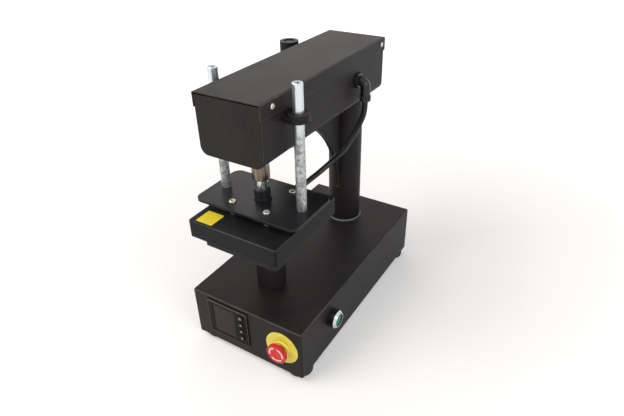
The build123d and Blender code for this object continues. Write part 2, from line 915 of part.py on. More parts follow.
# Lid: a bent cover whose flanges lie outside the walls of the channel
with BuildPart() as head_lid:
    with BuildSketch(level(head_top - lid_flange)):
        with Locations((0, head_middle_y)):
            Rectangle(head_width, head_length)
    extrude(amount=lid_flange)
    fillet(head_lid.edges().filter_by(Axis.Y).group_by(Axis.Z)[-1], radius=lid_bend)
    lid_ends = head_lid.faces().sort_by(Axis.Y)
    offset(
        amount=-lid_sheet,
        openings=[lid_ends[0], lid_ends[-1], head_lid.faces().sort_by(Axis.Z)[0]],
    )
    with BuildSketch(facing_right(0)):
        with Locations(*[(y, lid_screw_z) for y in lid_screw_ys]):
            Circle(pan_shank_radius + screw_clearance)
    extrude(amount=head_width, both=True, mode=Mode.SUBTRACT)
head_lid.part.label = "head_lid"
export_step(head_lid.part, "parts/head_lid.step")

# Guide brackets: an arm on each wall of the head, round about its guide rod
guide_x = guide_spacing / 2
with BuildPart() as guide_brackets:
    with BuildSketch(level(bracket_bottom)):
        for side in (-1, 1):
            with Locations((side * (head_wall_x + guide_x) / 2, press_y)):
                Rectangle(guide_x - head_wall_x, 2 * bracket_radius)
            with Locations((side * guide_x, press_y)):
                Circle(bracket_radius)
        Rectangle(channel_width, base_length, mode=Mode.SUBTRACT)
        with Locations((-guide_x, press_y), (guide_x, press_y)):
            Circle(bush_radius, mode=Mode.SUBTRACT)
    extrude(amount=bracket_thick)
    bracket_rims = guide_brackets.edges().filter_by(GeomType.CIRCLE).filter_by(
        lambda edge: abs(edge.radius - bracket_radius) < running_fit
    )
    fillet(bracket_rims, radius=bracket_edge)
guide_brackets.part.label = "guide_brackets"
export_step(guide_brackets.part, "parts/guide_brackets.step")

# Flanged bushes in the brackets
bush_length = bush_flange_height + bracket_thick + bush_tail
bush_bore = guide_radius + running_fit
bush_profile = (
    (bush_bore, 0),
    (bush_radius - bush_lead, 0),
    (bush_radius, bush_lead),
    (bush_radius, bush_length - bush_flange_height),
    (bush_flange_radius, bush_length - bush_flange_height),
    (bush_flange_radius, bush_length - bush_lead),
    (bush_flange_radius - bush_lead, bush_length),
    (bush_bore, bush_length),
)
guide_bush = turned(bush_profile, Vector(0, 0, 0), upward)
with BuildPart() as guide_bushes:
    with Locations(level(bracket_bottom - bush_tail)):
        with Locations((-guide_x, press_y), (guide_x, press_y)):
            add(guide_bush)
guide_bushes.part.label = "guide_bushes"
export_step(guide_bushes.part, "parts/guide_bushes.step")

# Compact air cylinder: a square profile body with sensor grooves, bored from above
port_levels = (cylinder_bottom + lower_port_rise, cylinder_top - upper_port_drop)
lower_port_x = valve_x + port_spread
upper_port_x = valve_x - port_spread
cylinder_rear_y = press_y + cylinder_width / 2
with BuildPart() as cylinder_body:
    with BuildSketch(level(cylinder_bottom)):
        with Locations((0, press_y)):
            RectangleRounded(cylinder_width, cylinder_width, cylinder_corner)
        with Locations((0, press_y - cylinder_width / 2), (0, press_y + cylinder_width / 2)):
            with GridLocations(2 * sensor_slot_offset, 0, 2, 1):
                Rectangle(sensor_slot_width, 2 * sensor_slot_depth, mode=Mode.SUBTRACT)
        with Locations((-cylinder_width / 2, press_y), (cylinder_width / 2, press_y)):
            with GridLocations(0, 2 * sensor_slot_offset, 1, 2):
                Rectangle(2 * sensor_slot_depth, sensor_slot_width, mode=Mode.SUBTRACT)
    extrude(amount=cylinder_top - cylinder_bottom)
    with BuildSketch(level(chamber_bottom)):
        with Locations((0, press_y)):
            Circle(cylinder_bore_radius)
    extrude(amount=cylinder_top - chamber_bottom, mode=Mode.SUBTRACT)
    with BuildSketch(level(cylinder_bottom)):
        with Locations((0, press_y)):
            Circle(piston_rod_radius + running_fit)
    extrude(amount=cylinder_floor, mode=Mode.SUBTRACT)
    with BuildSketch(level(cylinder_bottom)):
        with Locations(*cylinder_bolt_places):
            Circle(cylinder_bolt_radius)
    extrude(amount=cylinder_bolt_grip, mode=Mode.SUBTRACT)
    with BuildSketch(facing_front(cylinder_rear_y)):
        with Locations((lower_port_x, port_levels[0]), (upper_port_x, port_levels[1])):
            Circle(fitting_stub_radius)
    extrude(amount=fitting_stub_length, mode=Mode.SUBTRACT)
cylinder_body.part.label = "cylinder_body"
export_step(cylinder_body.part, "parts/cylinder_body.step")

# Cap that closes the bore, with its retaining ring groove as a step
with BuildPart() as cylinder_cover:
    with BuildSketch(level(chamber_top)):
        with Locations((0, press_y)):
            Circle(cylinder_bore_radius)
    extrude(amount=cylinder_cap)
    chamfer(cylinder_cover.faces().sort_by(Axis.Z)[-1].edges(), length=piston_edge)
    with BuildSketch(level(cylinder_top)):
        with Locations((0, press_y)):
            Circle(cylinder_bore_radius / 2)
    extrude(amount=-cylinder_cap / 4, mode=Mode.SUBTRACT)
cylinder_cover.part.label = "cylinder_cover"
export_step(cylinder_cover.part, "parts/cylinder_cover.step")

# Bolts that hold the cylinder from under the head
with BuildPart() as cylinder_bolts:
    for x, y in cylinder_bolt_places:
        with Locations(pointing((x, y, head_bottom), downward)):
            add(cylinder_bolt.part)
cylinder_bolts.part.label = "cylinder_bolts"
export_step(cylinder_bolts.part, "parts/cylinder_bolts.step")

# Piston with a seal groove
piston_middle = (piston_bottom + piston_top) / 2
with BuildPart() as piston:
    with BuildSketch(level(piston_bottom)):
        with Locations((0, press_y)):
            Circle(cylinder_bore_radius - running_fit)
    extrude(amount=piston_thick)
    chamfer(piston.edges(), length=piston_edge)
    with BuildSketch(level(piston_middle - seal_groove_height / 2)):
        with Locations((0, press_y)):
            Circle(cylinder_bore_radius)
            Circle(cylinder_bore_radius - seal_groove_depth, mode=Mode.SUBTRACT)
    extrude(amount=seal_groove_height, mode=Mode.SUBTRACT)
piston.part.label = "piston"
export_step(piston.part, "parts/piston.step")

# Piston rod, stepped down to the neck that screws into the coupling
neck_bottom = mounting_top + coupling_height / 2
piston_rod_profile = (
    (0, neck_bottom),
    (rod_stud_radius, neck_bottom),
    (rod_stud_radius, coupling_top),
    (neck_radius, coupling_top),
    (neck_radius, rod_shoulder),
    (piston_rod_radius - piston_rod_chamfer, rod_shoulder),
    (piston_rod_radius, rod_shoulder + piston_rod_chamfer),
    (piston_rod_radius, piston_bottom),
    (0, piston_bottom),
)
press_axis_foot = Vector(0, press_y, 0)
with BuildPart() as piston_rod:
    add(turned(piston_rod_profile, press_axis_foot, upward))
piston_rod.part.label = "piston_rod"
export_step(piston_rod.part, "parts/piston_rod.step")

# Coupling: a black boss with wrench flats on a bright foot ring
coupling_profile = (
    (0, mounting_top),
    (coupling_ring_radius, mounting_top),
    (coupling_ring_radius, mounting_top + coupling_ring_height),
    (coupling_radius, mounting_top + coupling_ring_height),
    (coupling_radius, coupling_top - coupling_chamfer),
    (coupling_radius - coupling_chamfer, coupling_top),
    (rod_stud_radius, coupling_top),
    (rod_stud_radius, neck_bottom),
    (0, neck_bottom),
)
with BuildPart() as rod_coupling:
    add(turned(coupling_profile, press_axis_foot, upward))
    with BuildSketch(level(coupling_top)):
        with Locations((0, press_y)):
            Circle(coupling_ring_radius)
            Rectangle(coupling_across_flats, 2 * coupling_ring_radius, mode=Mode.SUBTRACT)
    extrude(amount=-coupling_flat_height, mode=Mode.SUBTRACT)
    with BuildSketch(level(mounting_top)):
        with Locations((0, press_y)):
            Circle(centre_screw_radius)
    extrude(amount=coupling_height / 2, mode=Mode.SUBTRACT)
rod_coupling.part.label = "rod_coupling"
export_step(rod_coupling.part, "parts/rod_coupling.step")

# Mounting plate that carries the guide rods and the heated platen
spacer_x = cover_width / 2 - spacer_inset_x
spacer_reach = cover_length / 2 - spacer_inset_y
platen_pan_places = [(sx * spacer_x, press_y + sy * spacer_reach) for sx in (-1, 1) for sy in (-1, 1)]
guide_places = [(-guide_x, press_y), (guide_x, press_y)]
with BuildPart() as mounting_plate:
    with BuildSketch(level(mounting_bottom)):
        with Locations((0, press_y)):
            RectangleRounded(mounting_width, mounting_length, mounting_corner)
            Circle(centre_screw_radius, mode=Mode.SUBTRACT)
        with Locations(*guide_places):
            Circle(rod_screw_radius, mode=Mode.SUBTRACT)
        with Locations(*platen_pan_places):
            Circle(platen_pan_radius, mode=Mode.SUBTRACT)
    extrude(amount=mounting_thick)
    top_rim = mounting_plate.faces().sort_by(Axis.Z)[-1].outer_wire().edges()
    fillet(top_rim, radius=mounting_edge)
mounting_plate.part.label = "mounting_plate"
export_step(mounting_plate.part, "parts/mounting_plate.step")

# Guide rods, tapped at both ends
with BuildPart() as guide_rods:
    with BuildSketch(level(mounting_top)):
        with Locations(*guide_places):
            Circle(guide_radius)
    extrude(amount=guide_top - mounting_top)
    chamfer(guide_rods.faces().group_by(Axis.Z)[-1].edges(), length=guide_chamfer)
    with Locations(level(guide_top)):
        with Locations(*guide_places):
            CounterBoreHole(guide_tap_radius, guide_tap_rim, guide_tap_rim_depth, guide_tap_depth)
    with BuildSketch(level(mounting_top)):
        with Locations(*guide_places):
            Circle(rod_screw_radius)
    extrude(amount=guide_tap_depth / 2, mode=Mode.SUBTRACT)
guide_rods.part.label = "guide_rods"
export_step(guide_rods.part, "parts/guide_rods.step")

# Bright spacers between the mounting plate and the platen cover
with BuildPart() as platen_spacers:
    with BuildSketch(level(cover_top)):
        with Locations(*platen_pan_places):
            Circle(spacer_radius)
            Circle(platen_pan_radius, mode=Mode.SUBTRACT)
    extrude(amount=spacer_height)
platen_spacers.part.label = "platen_spacers"
export_step(platen_spacers.part, "parts/platen_spacers.step")

# Screws of the heated platen: four from above, and the rod and coupling screws from below
with BuildPart() as platen_fasteners:
    for x, y in platen_pan_places:
        with Locations((x, y, mounting_top)):
            add(platen_pan_screw)
    for x, y in guide_places:
        with Locations(pointing((x, y, mounting_bottom), downward)):
            add(rod_screw)
    with Locations(pointing((0, press_y, mounting_bottom), downward)):
        add(centre_screw)
platen_fasteners.part.label = "platen_fasteners"
export_step(platen_fasteners.part, "parts/platen_fasteners.step")

# Sheet cover of the heated platen, open below
cover_rear_y = press_y + cover_length / 2
with BuildPart() as platen_cover:
    with BuildSketch(level(cover_bottom)):
        with Locations((0, press_y)):
            RectangleRounded(cover_width, cover_length, cover_bend)
    extrude(amount=cover_height)
    fillet(platen_cover.faces().sort_by(Axis.Z)[-1].edges(), radius=cover_bend - cover_sheet / 2)
    offset(amount=-cover_sheet, openings=platen_cover.faces().sort_by(Axis.Z)[0])
    with BuildSketch(level(cover_top)):
        with Locations(*platen_pan_places):
            Circle(platen_pan_radius)
    extrude(amount=-cover_sheet, mode=Mode.SUBTRACT)
    with BuildSketch(facing_front(cover_rear_y)):
        with Locations((gland_x, gland_z)):
            Circle(gland_thread_radius)
    extrude(amount=cover_sheet, mode=Mode.SUBTRACT)
platen_cover.part.label = "platen_cover"
export_step(platen_cover.part, "parts/platen_cover.step")

# Insulation board between the heating plate and the cover
plate_width = cover_width - 2 * cover_sheet - 2 * heating_plate_margin
plate_length = cover_length - 2 * cover_sheet - 2 * heating_plate_margin
with BuildPart() as insulation:
    with BuildSketch(level(heating_plate_top)):
        with Locations((0, press_y)):
            RectangleRounded(plate_width, plate_length, heating_plate_corner)
        with Locations(*platen_pan_places):
            Circle(platen_pan_radius, mode=Mode.SUBTRACT)
        with Locations((gland_x, cover_rear_y)):
            Rectangle(
                2 * gland_radius + 2 * loose_fit,
                2 * (cover_sheet + gland_thread_length + gland_pocket),
                mode=Mode.SUBTRACT,
            )
    extrude(amount=cover_top - cover_sheet - heating_plate_top)
insulation.part.label = "insulation"
export_step(insulation.part, "parts/insulation.step")

# Tubular element, cast into the heating plate with its two ends standing out at the rear
element_z = press_level + heating_plate_thick / 2
element_front_y = press_y - plate_length / 2 + element_margin
element_end_y = press_y + plate_length / 2 + element_tail
element_x = plate_width / 2 - element_margin
element_points = (
    (-element_spread / 2, element_end_y, element_z),
    (-element_spread / 2, element_front_y + element_knee, element_z),
    (-element_x, element_front_y + element_shoulder, element_z),
    (-element_x, element_front_y, element_z),
    (element_x, element_front_y, element_z),
    (element_x, element_front_y + element_shoulder, element_z),
    (element_spread / 2, element_front_y + element_knee, element_z),
    (element_spread / 2, element_end_y, element_z),
)
with BuildPart() as heating_element:
    with BuildLine() as element_route:
        FilletPolyline(*element_points, radius=element_bend)
    with BuildSketch(Plane(origin=element_points[0], z_dir=element_route.line % 0)):
        Circle(element_radius)
    sweep()
heating_element.part.label = "heating_element"
export_step(heating_element.part, "parts/heating_element.step")

# Heating plate, cast around the element
with BuildPart() as heating_plate:
    with BuildSketch(level(press_level)):
        with Locations((0, press_y)):
            RectangleRounded(plate_width, plate_length, heating_plate_corner)
    extrude(amount=heating_plate_thick)
    chamfer(heating_plate.faces().sort_by(Axis.Z)[0].edges(), length=heating_plate_chamfer)
    with BuildSketch(level(heating_plate_top)):
        with Locations(*platen_pan_places):
            Circle(platen_pan_radius)
    extrude(amount=-platen_tap_depth, mode=Mode.SUBTRACT)
    add(heating_element.part, mode=Mode.SUBTRACT)
heating_plate.part.label = "heating_plate"
export_step(heating_plate.part, "parts/heating_plate.step")

# Gland on the rear face of the platen cover, with its locknut side inside the cover
gland_seat = Vector(gland_x, cover_rear_y, gland_z)
gland_waist = gland_length / 2
gland_profile = (
    (cable_radius, gland_waist),
    (0, gland_waist),
    (0, -gland_thread_length),
    (gland_thread_radius, -gland_thread_length),
    (gland_thread_radius, 0),
    (gland_radius, 0),
    (gland_radius, gland_waist),
    (gland_radius - gland_step, gland_waist + gland_step),
    (gland_radius - gland_step, gland_length - gland_step),
    (gland_thread_radius, gland_length),
    (cable_radius, gland_length),
)
with BuildPart() as platen_gland:
    add(turned(gland_profile, gland_seat, to_rear))
platen_gland.part.label = "platen_gland"
export_step(platen_gland.part, "parts/platen_gland.step")

# Elbow on the right wall of the head: a hex flange, and a body that turns down
elbow_seat = Vector(head_wall_x, elbow_y, elbow_z)
elbow_corner = elbow_seat + to_right * elbow_reach
elbow_end = elbow_corner + downward * elbow_fall
with BuildPart() as cable_elbow:
    with BuildLine() as elbow_route:
        FilletPolyline(elbow_seat, elbow_corner, elbow_end, radius=elbow_bend)
    with BuildSketch(pointing(elbow_seat, to_right)):
        Circle(elbow_radius)
        Circle(elbow_bore_radius, mode=Mode.SUBTRACT)
    sweep()
    with BuildSketch(facing_right(head_wall_x)):
        with Locations((elbow_y, elbow_z)):
            RegularPolygon(elbow_flange_flats / 2, 6, major_radius=False)
            Circle(elbow_radius, mode=Mode.SUBTRACT)
    extrude(amount=elbow_flange_height)
    with BuildSketch(facing_right(head_wall_x)):
        with Locations((elbow_y, elbow_z)):
            Circle(elbow_thread_radius)
            Circle(elbow_bore_radius, mode=Mode.SUBTRACT)
    extrude(amount=-elbow_thread_length)
cable_elbow.part.label = "cable_elbow"
export_step(cable_elbow.part, "parts/cable_elbow.step")

# Clamping nut at the lower end of the elbow, closed around the cable
elbow_nut_profile = (
    (0, 0),
    (elbow_nut_radius - elbow_nut_chamfer, 0),
    (elbow_nut_radius, elbow_nut_chamfer),
    (elbow_nut_radius, elbow_nut_height - elbow_nut_chamfer),
    (elbow_nut_radius - 2 * elbow_nut_chamfer, elbow_nut_height),
    (cable_radius, elbow_nut_height),
    (cable_radius, elbow_nut_height / 2),
    (0, elbow_nut_height / 2),
)
with BuildPart() as elbow_nut:
    add(turned(elbow_nut_profile, elbow_end, downward))
    with BuildSketch(level(elbow_end.Z)):
        with Locations((elbow_end.X, elbow_end.Y)):
            with PolarLocations(elbow_nut_radius, nut_flute_count):
                Circle(nut_flute_radius)
    extrude(amount=-elbow_nut_height / 2, mode=Mode.SUBTRACT)
elbow_nut.part.label = "elbow_nut"
export_step(elbow_nut.part, "parts/elbow_nut.step")

# Heater cable from the nut to the gland: straight runs joined by tangent arcs
cable_start = elbow_end + downward * elbow_nut_height
cable_finish = gland_seat + to_rear * gland_length
cable_points = [
    cable_start,
    cable_start + Vector(0, 0, -17.5),
    cable_start + Vector(-7.5, -0.5, -38),
    cable_start + Vector(-17, -3, -60),
    cable_start + Vector(-28.5, -14, -84),
    cable_start + Vector(-41, -29.5, -99),
    cable_start + Vector(-51, -51, -111),
    cable_finish + Vector(0, 23.5, 0),
    cable_finish,
]
cable_runs = [after - before for before, after in zip(cable_points, cable_points[1:])]
cable_radii = [
    arc_share * min(run.length, next_run.length) / math.tan(math.radians(run.get_angle(next_run) / 2))
    for run, next_run in zip(cable_runs, cable_runs[1:])
]
with BuildPart() as heater_cable:
    with BuildLine() as cable_route:
        FilletPolyline(*cable_points, radius=cable_radii)
    with BuildSketch(pointing(cable_start, cable_runs[0])):
        Circle(cable_radius)
    sweep()
print("cable bend radii", [round(radius, 1) for radius in cable_radii])
print("cable length", round(cable_route.wire().length, 2))
print("cable volume over section", round(heater_cable.part.volume / (math.pi * cable_radius**2), 2))
heater_cable.part.label = "heater_cable"
export_step(heater_cable.part, "parts/heater_cable.step")

# Solenoid valve on the floor of the head, with its coil behind it
valve_middle_y = valve_y + valve_length / 2
valve_rear_y = valve_y + valve_length
with BuildPart() as solenoid_valve:
    with BuildSketch(level(channel_floor)):
        with Locations((valve_x, valve_middle_y)):
            Rectangle(valve_width + 2 * valve_base, valve_length)
    extrude(amount=valve_base)
    with BuildSketch(level(channel_floor + valve_base)):
        with Locations((valve_x, valve_middle_y)):
            Rectangle(valve_width, valve_length)
    extrude(amount=valve_height)
    fillet(solenoid_valve.faces().sort_by(Axis.Z)[-1].edges(), radius=valve_edge)
    with BuildSketch(facing_front(valve_rear_y)):
        with Locations((valve_x, channel_floor + valve_base + coil_height / 2)):
            RectangleRounded(coil_width, coil_height, valve_edge)
    extrude(amount=-coil_length)
    with BuildSketch(facing_front(valve_y)):
        with Locations((lower_port_x, port_levels[0]), (upper_port_x, port_levels[0])):
            Circle(fitting_stub_radius)
    extrude(amount=-fitting_stub_length, mode=Mode.SUBTRACT)
    with BuildSketch(facing_right(valve_x - valve_width / 2)):
        with Locations((valve_middle_y, regulator_z)):
            Circle(fitting_stub_radius)
    extrude(amount=fitting_stub_length, mode=Mode.SUBTRACT)
solenoid_valve.part.label = "solenoid_valve"
export_step(solenoid_valve.part, "parts/solenoid_valve.step")

# Pneumatic fittings in the head: cylinder ports, valve ports, and the joint to the regulator
banjo_x = -(channel_inside / 2 - banjo_width / 2)
banjo_front_y = regulator_y - banjo_width / 2
regulator_right_x = -(regulator_x - regulator_width / 2)
fitting_seats = (
    (Vector(lower_port_x, cylinder_rear_y, port_levels[0]), to_rear),
    (Vector(upper_port_x, cylinder_rear_y, port_levels[1]), to_rear),
    (Vector(lower_port_x, valve_y, port_levels[0]), to_front),
    (Vector(upper_port_x, valve_y, port_levels[0]), to_front),
    (Vector(valve_x - valve_width / 2, valve_middle_y, regulator_z), to_left),
)
with BuildPart() as air_fittings:
    for seat, direction in fitting_seats:
        with Locations(pointing(seat, direction)):
            add(push_fitting.part)
    with BuildSketch(facing_right(-channel_inside / 2)):
        with Locations((regulator_y, regulator_z)):
            RectangleRounded(banjo_width, banjo_width, valve_edge)
    extrude(amount=banjo_width)
    with BuildSketch(facing_right(regulator_right_x)):
        with Locations((regulator_y, regulator_z)):
            Circle(nipple_radius)
    extrude(amount=-channel_inside / 2 - regulator_right_x)
    with BuildSketch(facing_right(-head_wall_x)):
        with Locations((regulator_y, regulator_z)):
            RegularPolygon(nipple_nut_flats / 2, 6, major_radius=False)
    extrude(amount=-nipple_nut_height)
    with Locations(pointing((banjo_x, banjo_front_y, regulator_z), to_front)):
        add(push_fitting.part)
air_fittings.part.label = "air_fittings"
export_step(air_fittings.part, "parts/air_fittings.step")

# Air tubes between the fittings
tube_inset = fitting_length - tube_seat
upper_start = Vector(upper_port_x, cylinder_rear_y + tube_inset, port_levels[1])
upper_finish = Vector(upper_port_x, valve_y - tube_inset, port_levels[0])
lower_start = Vector(lower_port_x, cylinder_rear_y + tube_inset, port_levels[0])
supply_start = Vector(banjo_x, banjo_front_y - tube_inset, regulator_z)
supply_finish = Vector(valve_x - valve_width / 2 - tube_inset, valve_middle_y, regulator_z)
upper_points = (
    upper_start,
    upper_start + to_rear * (tube_seat + tube_run),
    upper_finish + to_front * (tube_seat + tube_run),
    upper_finish,
)
supply_points = (supply_start, Vector(banjo_x, valve_middle_y, regulator_z), supply_finish)
with BuildPart() as air_tubes:
    with BuildSketch(pointing(lower_start, to_rear)):
        Circle(tube_radius)
        Circle(tube_bore_radius, mode=Mode.SUBTRACT)
    extrude(amount=valve_y - tube_inset - lower_start.Y)
    with BuildLine() as upper_route:
        FilletPolyline(*upper_points, radius=tube_bend)
    with BuildSketch(pointing(upper_start, to_rear)):
        Circle(tube_radius)
        Circle(tube_bore_radius, mode=Mode.SUBTRACT)
    sweep(path=upper_route.wire())
    with BuildLine() as supply_route:
        FilletPolyline(*supply_points, radius=tube_corner)
    with BuildSketch(pointing(supply_start, to_front)):
        Circle(tube_radius)
        Circle(tube_bore_radius, mode=Mode.SUBTRACT)
    sweep(path=supply_route.wire())
air_tubes.part.label = "air_tubes"
export_step(air_tubes.part, "parts/air_tubes.step")

# Regulator body with bonnet and spindle, and the threaded air inlet on its outer face
regulator_top = regulator_z + regulator_width / 2
regulator_bottom = regulator_z - regulator_width / 2
bonnet_top = regulator_top + bonnet_height
with BuildPart() as regulator_body:
    with BuildSketch(level(regulator_bottom)):
        with Locations((-regulator_x, regulator_y)):
            Rectangle(regulator_width, regulator_width)
    extrude(amount=regulator_width)
    fillet(regulator_body.edges().filter_by(Axis.Z), radius=regulator_edge)
    with BuildSketch(level(regulator_top)):
        with Locations((-regulator_x, regulator_y)):
            Circle(bonnet_radius)
    extrude(amount=bonnet_height)
    with BuildSketch(level(bonnet_top)):
        with Locations((-regulator_x, regulator_y)):
            Circle(knob_spindle_radius)
    extrude(amount=knob_spindle_height)
    with BuildSketch(facing_right(-regulator_x - regulator_width / 2)):
        with Locations((regulator_y, regulator_z)):
            Circle(inlet_radius)
    extrude(amount=inlet_depth, mode=Mode.SUBTRACT)
regulator_body.part.label = "regulator_body"
export_step(regulator_body.part, "parts/regulator_body.step")

# Regulator knob: fluted grip with a dished top, turning on the spindle
knob_bottom = bonnet_top + knob_gap
knob_top = knob_bottom + knob_height
with BuildPart() as regulator_knob:
    with BuildSketch(level(knob_bottom)):
        with Locations((-regulator_x, regulator_y)):
            Circle(knob_radius)
            with PolarLocations(knob_radius, knob_rib_count):
                Circle(knob_rib_radius, mode=Mode.SUBTRACT)
    extrude(amount=knob_height)
    with BuildSketch(level(knob_top)):
        with Locations((-regulator_x, regulator_y)):
            Circle(knob_recess_radius)
    extrude(amount=-knob_recess_depth, mode=Mode.SUBTRACT)
    with BuildSketch(level(knob_bottom)):
        with Locations((-regulator_x, regulator_y)):
            Circle(knob_spindle_radius + running_fit)
    extrude(amount=knob_spindle_height, mode=Mode.SUBTRACT)
regulator_knob.part.label = "regulator_knob"
export_step(regulator_knob.part, "parts/regulator_knob.step")

# Filter bowl with its drain
with BuildPart() as filter_bowl:
    with BuildSketch(level(regulator_bottom)):
        with Locations((-regulator_x, regulator_y)):
            Circle(bowl_radius)
    extrude(amount=-bowl_height)
    fillet(filter_bowl.faces().sort_by(Axis.Z)[0].edges(), radius=bowl_round)
    with BuildSketch(level(regulator_bottom - bowl_height)):
        with Locations((-regulator_x, regulator_y)):
            Circle(bowl_drain_radius)
    extrude(amount=-bowl_drain_height)
filter_bowl.part.label = "filter_bowl"
export_step(filter_bowl.part, "parts/filter_bowl.step")

# Pressure gauge on the front face of the regulator
gauge_seat = Vector(-regulator_x, regulator_y - regulator_width / 2, regulator_z)
gauge_face = gauge_stem_length + gauge_depth
dial_level = gauge_face - gauge_dial_depth
gauge_profile = (
    (0, 0),
    (gauge_stem_radius, 0),
    (gauge_stem_radius, gauge_stem_length),
    (gauge_radius - gauge_edge, gauge_stem_length),
    (gauge_radius, gauge_stem_length + gauge_edge),
    (gauge_radius, gauge_face - gauge_edge),
    (gauge_radius - gauge_edge, gauge_face),
    (gauge_radius - gauge_wall, gauge_face),
    (gauge_radius - gauge_wall, dial_level),
    (needle_spindle_radius + running_fit, dial_level),
    (needle_spindle_radius + running_fit, dial_level - needle_spindle_length),
    (0, dial_level - needle_spindle_length),
)
with BuildPart() as gauge_case:
    add(turned(gauge_profile, gauge_seat, to_front))
gauge_case.part.label = "gauge_case"
export_step(gauge_case.part, "parts/gauge_case.step")

# Needle of the gauge, resting at zero on its spindle
needle_y = gauge_seat.Y - dial_level - needle_clearance
needle_angle = math.radians(needle_rest_angle)
needle_reach = Vector(math.cos(needle_angle), 0, math.sin(needle_angle))
with BuildPart() as needle_blank:
    with BuildSketch(Plane.XY):
        with BuildLine():
            Polyline(
                (-needle_tail, -needle_width / 2),
                (0, -needle_width / 2),
                (needle_length, 0),
                (0, needle_width / 2),
                (-needle_tail, needle_width / 2),
                close=True,
            )
        make_face()
        Circle(needle_hub_radius)
    extrude(amount=needle_thick)
    with BuildSketch(Plane.XY):
        Circle(needle_hub_radius)
    extrude(amount=needle_hub_height)
    with BuildSketch(Plane.XY):
        Circle(needle_spindle_radius)
    extrude(amount=-needle_clearance - needle_spindle_length)
with BuildPart() as gauge_needle:
    with Locations(Plane(origin=(-regulator_x, needle_y, regulator_z), x_dir=needle_reach, z_dir=to_front)):
        add(needle_blank.part)
gauge_needle.part.label = "gauge_needle"
export_step(gauge_needle.part, "parts/gauge_needle.step")

# Controller: a bevelled frame on the front wall, its case behind, a window pocket and key pockets
controller_level = controller_z + foot_height
window_level = window_z + foot_height
controller_face = front_y - controller_proud
key_levels = [key_z + foot_height + (step - (key_count - 1) / 2) * key_pitch for step in range(key_count)]
with BuildPart() as controller_case:
    with BuildSketch(facing_front(front_y)):
        with Locations((controller_x, controller_level)):
            RectangleRounded(controller_width, controller_height, controller_edge)
    extrude(amount=controller_proud)
    chamfer(controller_case.faces().sort_by(Axis.Y)[0].edges(), length=controller_edge)
    with BuildSketch(facing_front(front_y)):
        with Locations((controller_x, controller_level)):
            Rectangle(
                controller_width - 2 * controller_panel_margin,
                controller_height - 2 * controller_panel_margin,
            )
    extrude(amount=-controller_depth)
    with BuildSketch(facing_front(controller_face)):
        with Locations((window_x, window_level)):
            Rectangle(window_width, window_height)
    extrude(amount=-window_recess - window_thick, mode=Mode.SUBTRACT)
    with BuildSketch(facing_front(controller_face)):
        with Locations((window_x, window_level)):
            Rectangle(window_width - 2 * window_ledge, window_height - 2 * window_ledge)
    extrude(amount=-window_pocket, mode=Mode.SUBTRACT)
    with BuildSketch(facing_front(controller_face)):
        with Locations(*[(key_x, z) for z in key_levels]):
            Rectangle(key_size + 2 * key_gap, key_size + 2 * key_gap)
    extrude(amount=-key_depth - key_travel - key_gap, mode=Mode.SUBTRACT)
    with BuildSketch(facing_front(controller_face)):
        with Locations(*[(key_x, z) for z in key_levels]):
            Circle(key_stem_radius + running_fit)
    extrude(amount=-key_depth - key_stem_length - key_travel - key_gap, mode=Mode.SUBTRACT)
controller_case.part.label = "controller_case"
export_step(controller_case.part, "parts/controller_case.step")

# Window in front of the display
with BuildPart() as controller_window:
    with BuildSketch(facing_front(controller_face + window_recess)):
        with Locations((window_x, window_level)):
            Rectangle(window_width, window_height)
    extrude(amount=-window_thick)
controller_window.part.label = "controller_window"
export_step(controller_window.part, "parts/controller_window.step")

# Four square keys, each on a stem that slides in the case
for number, z in enumerate(reversed(key_levels), start=1):
    with BuildPart() as key:
        with BuildSketch(facing_front(controller_face - key_proud)):
            with Locations((key_x, z)):
                Rectangle(key_size, key_size)
        extrude(amount=-key_proud - key_depth)
        fillet(key.faces().sort_by(Axis.Y)[0].edges(), radius=key_edge)
        with BuildSketch(facing_front(controller_face + key_depth)):
            with Locations((key_x, z)):
                Circle(key_stem_radius)
        extrude(amount=-key_stem_length)
    key.part.label = f"key_{number}"
    export_step(key.part, f"parts/key_{number}.step")

# Yellow disc around the emergency stop
with BuildPart() as estop_ring:
    with BuildSketch(facing_front(front_y)):
        with Locations((estop_x, estop_seat.Z)):
            Circle(estop_disc_radius)
            Circle(panel_thread_radius, mode=Mode.SUBTRACT)
    extrude(amount=estop_disc_thick)
estop_ring.part.label = "estop_ring"
export_step(estop_ring.part, "parts/estop_ring.step")

# Collar of the emergency stop: flange on the disc, thread through the wall, nut behind it
estop_bore = estop_stem_radius + running_fit
collar_front = estop_disc_thick + estop_flange_height
estop_head_back = collar_front + estop_travel + button_end_gap
estop_stem_back = panel_thread_length - estop_travel - button_end_gap
estop_collar_profile = (
    (estop_bore, -panel_thread_length),
    (panel_thread_radius, -panel_thread_length),
    (panel_thread_radius, estop_disc_thick),
    (estop_flange_radius, estop_disc_thick),
    (estop_flange_radius, collar_front - controller_edge),
    (estop_flange_radius - controller_edge, collar_front),
    (estop_bore, collar_front),
)
with BuildPart() as estop_collar:
    add(turned(estop_collar_profile, estop_seat, to_front))
    with BuildSketch(facing_front(front_y + base_sheet)):
        with Locations((estop_x, estop_seat.Z)):
            RegularPolygon(panel_nut_flats / 2, 6, major_radius=False)
            Circle(panel_thread_radius + running_fit, mode=Mode.SUBTRACT)
    extrude(amount=-panel_nut_height)
estop_collar.part.label = "estop_collar"
export_step(estop_collar.part, "parts/estop_collar.step")

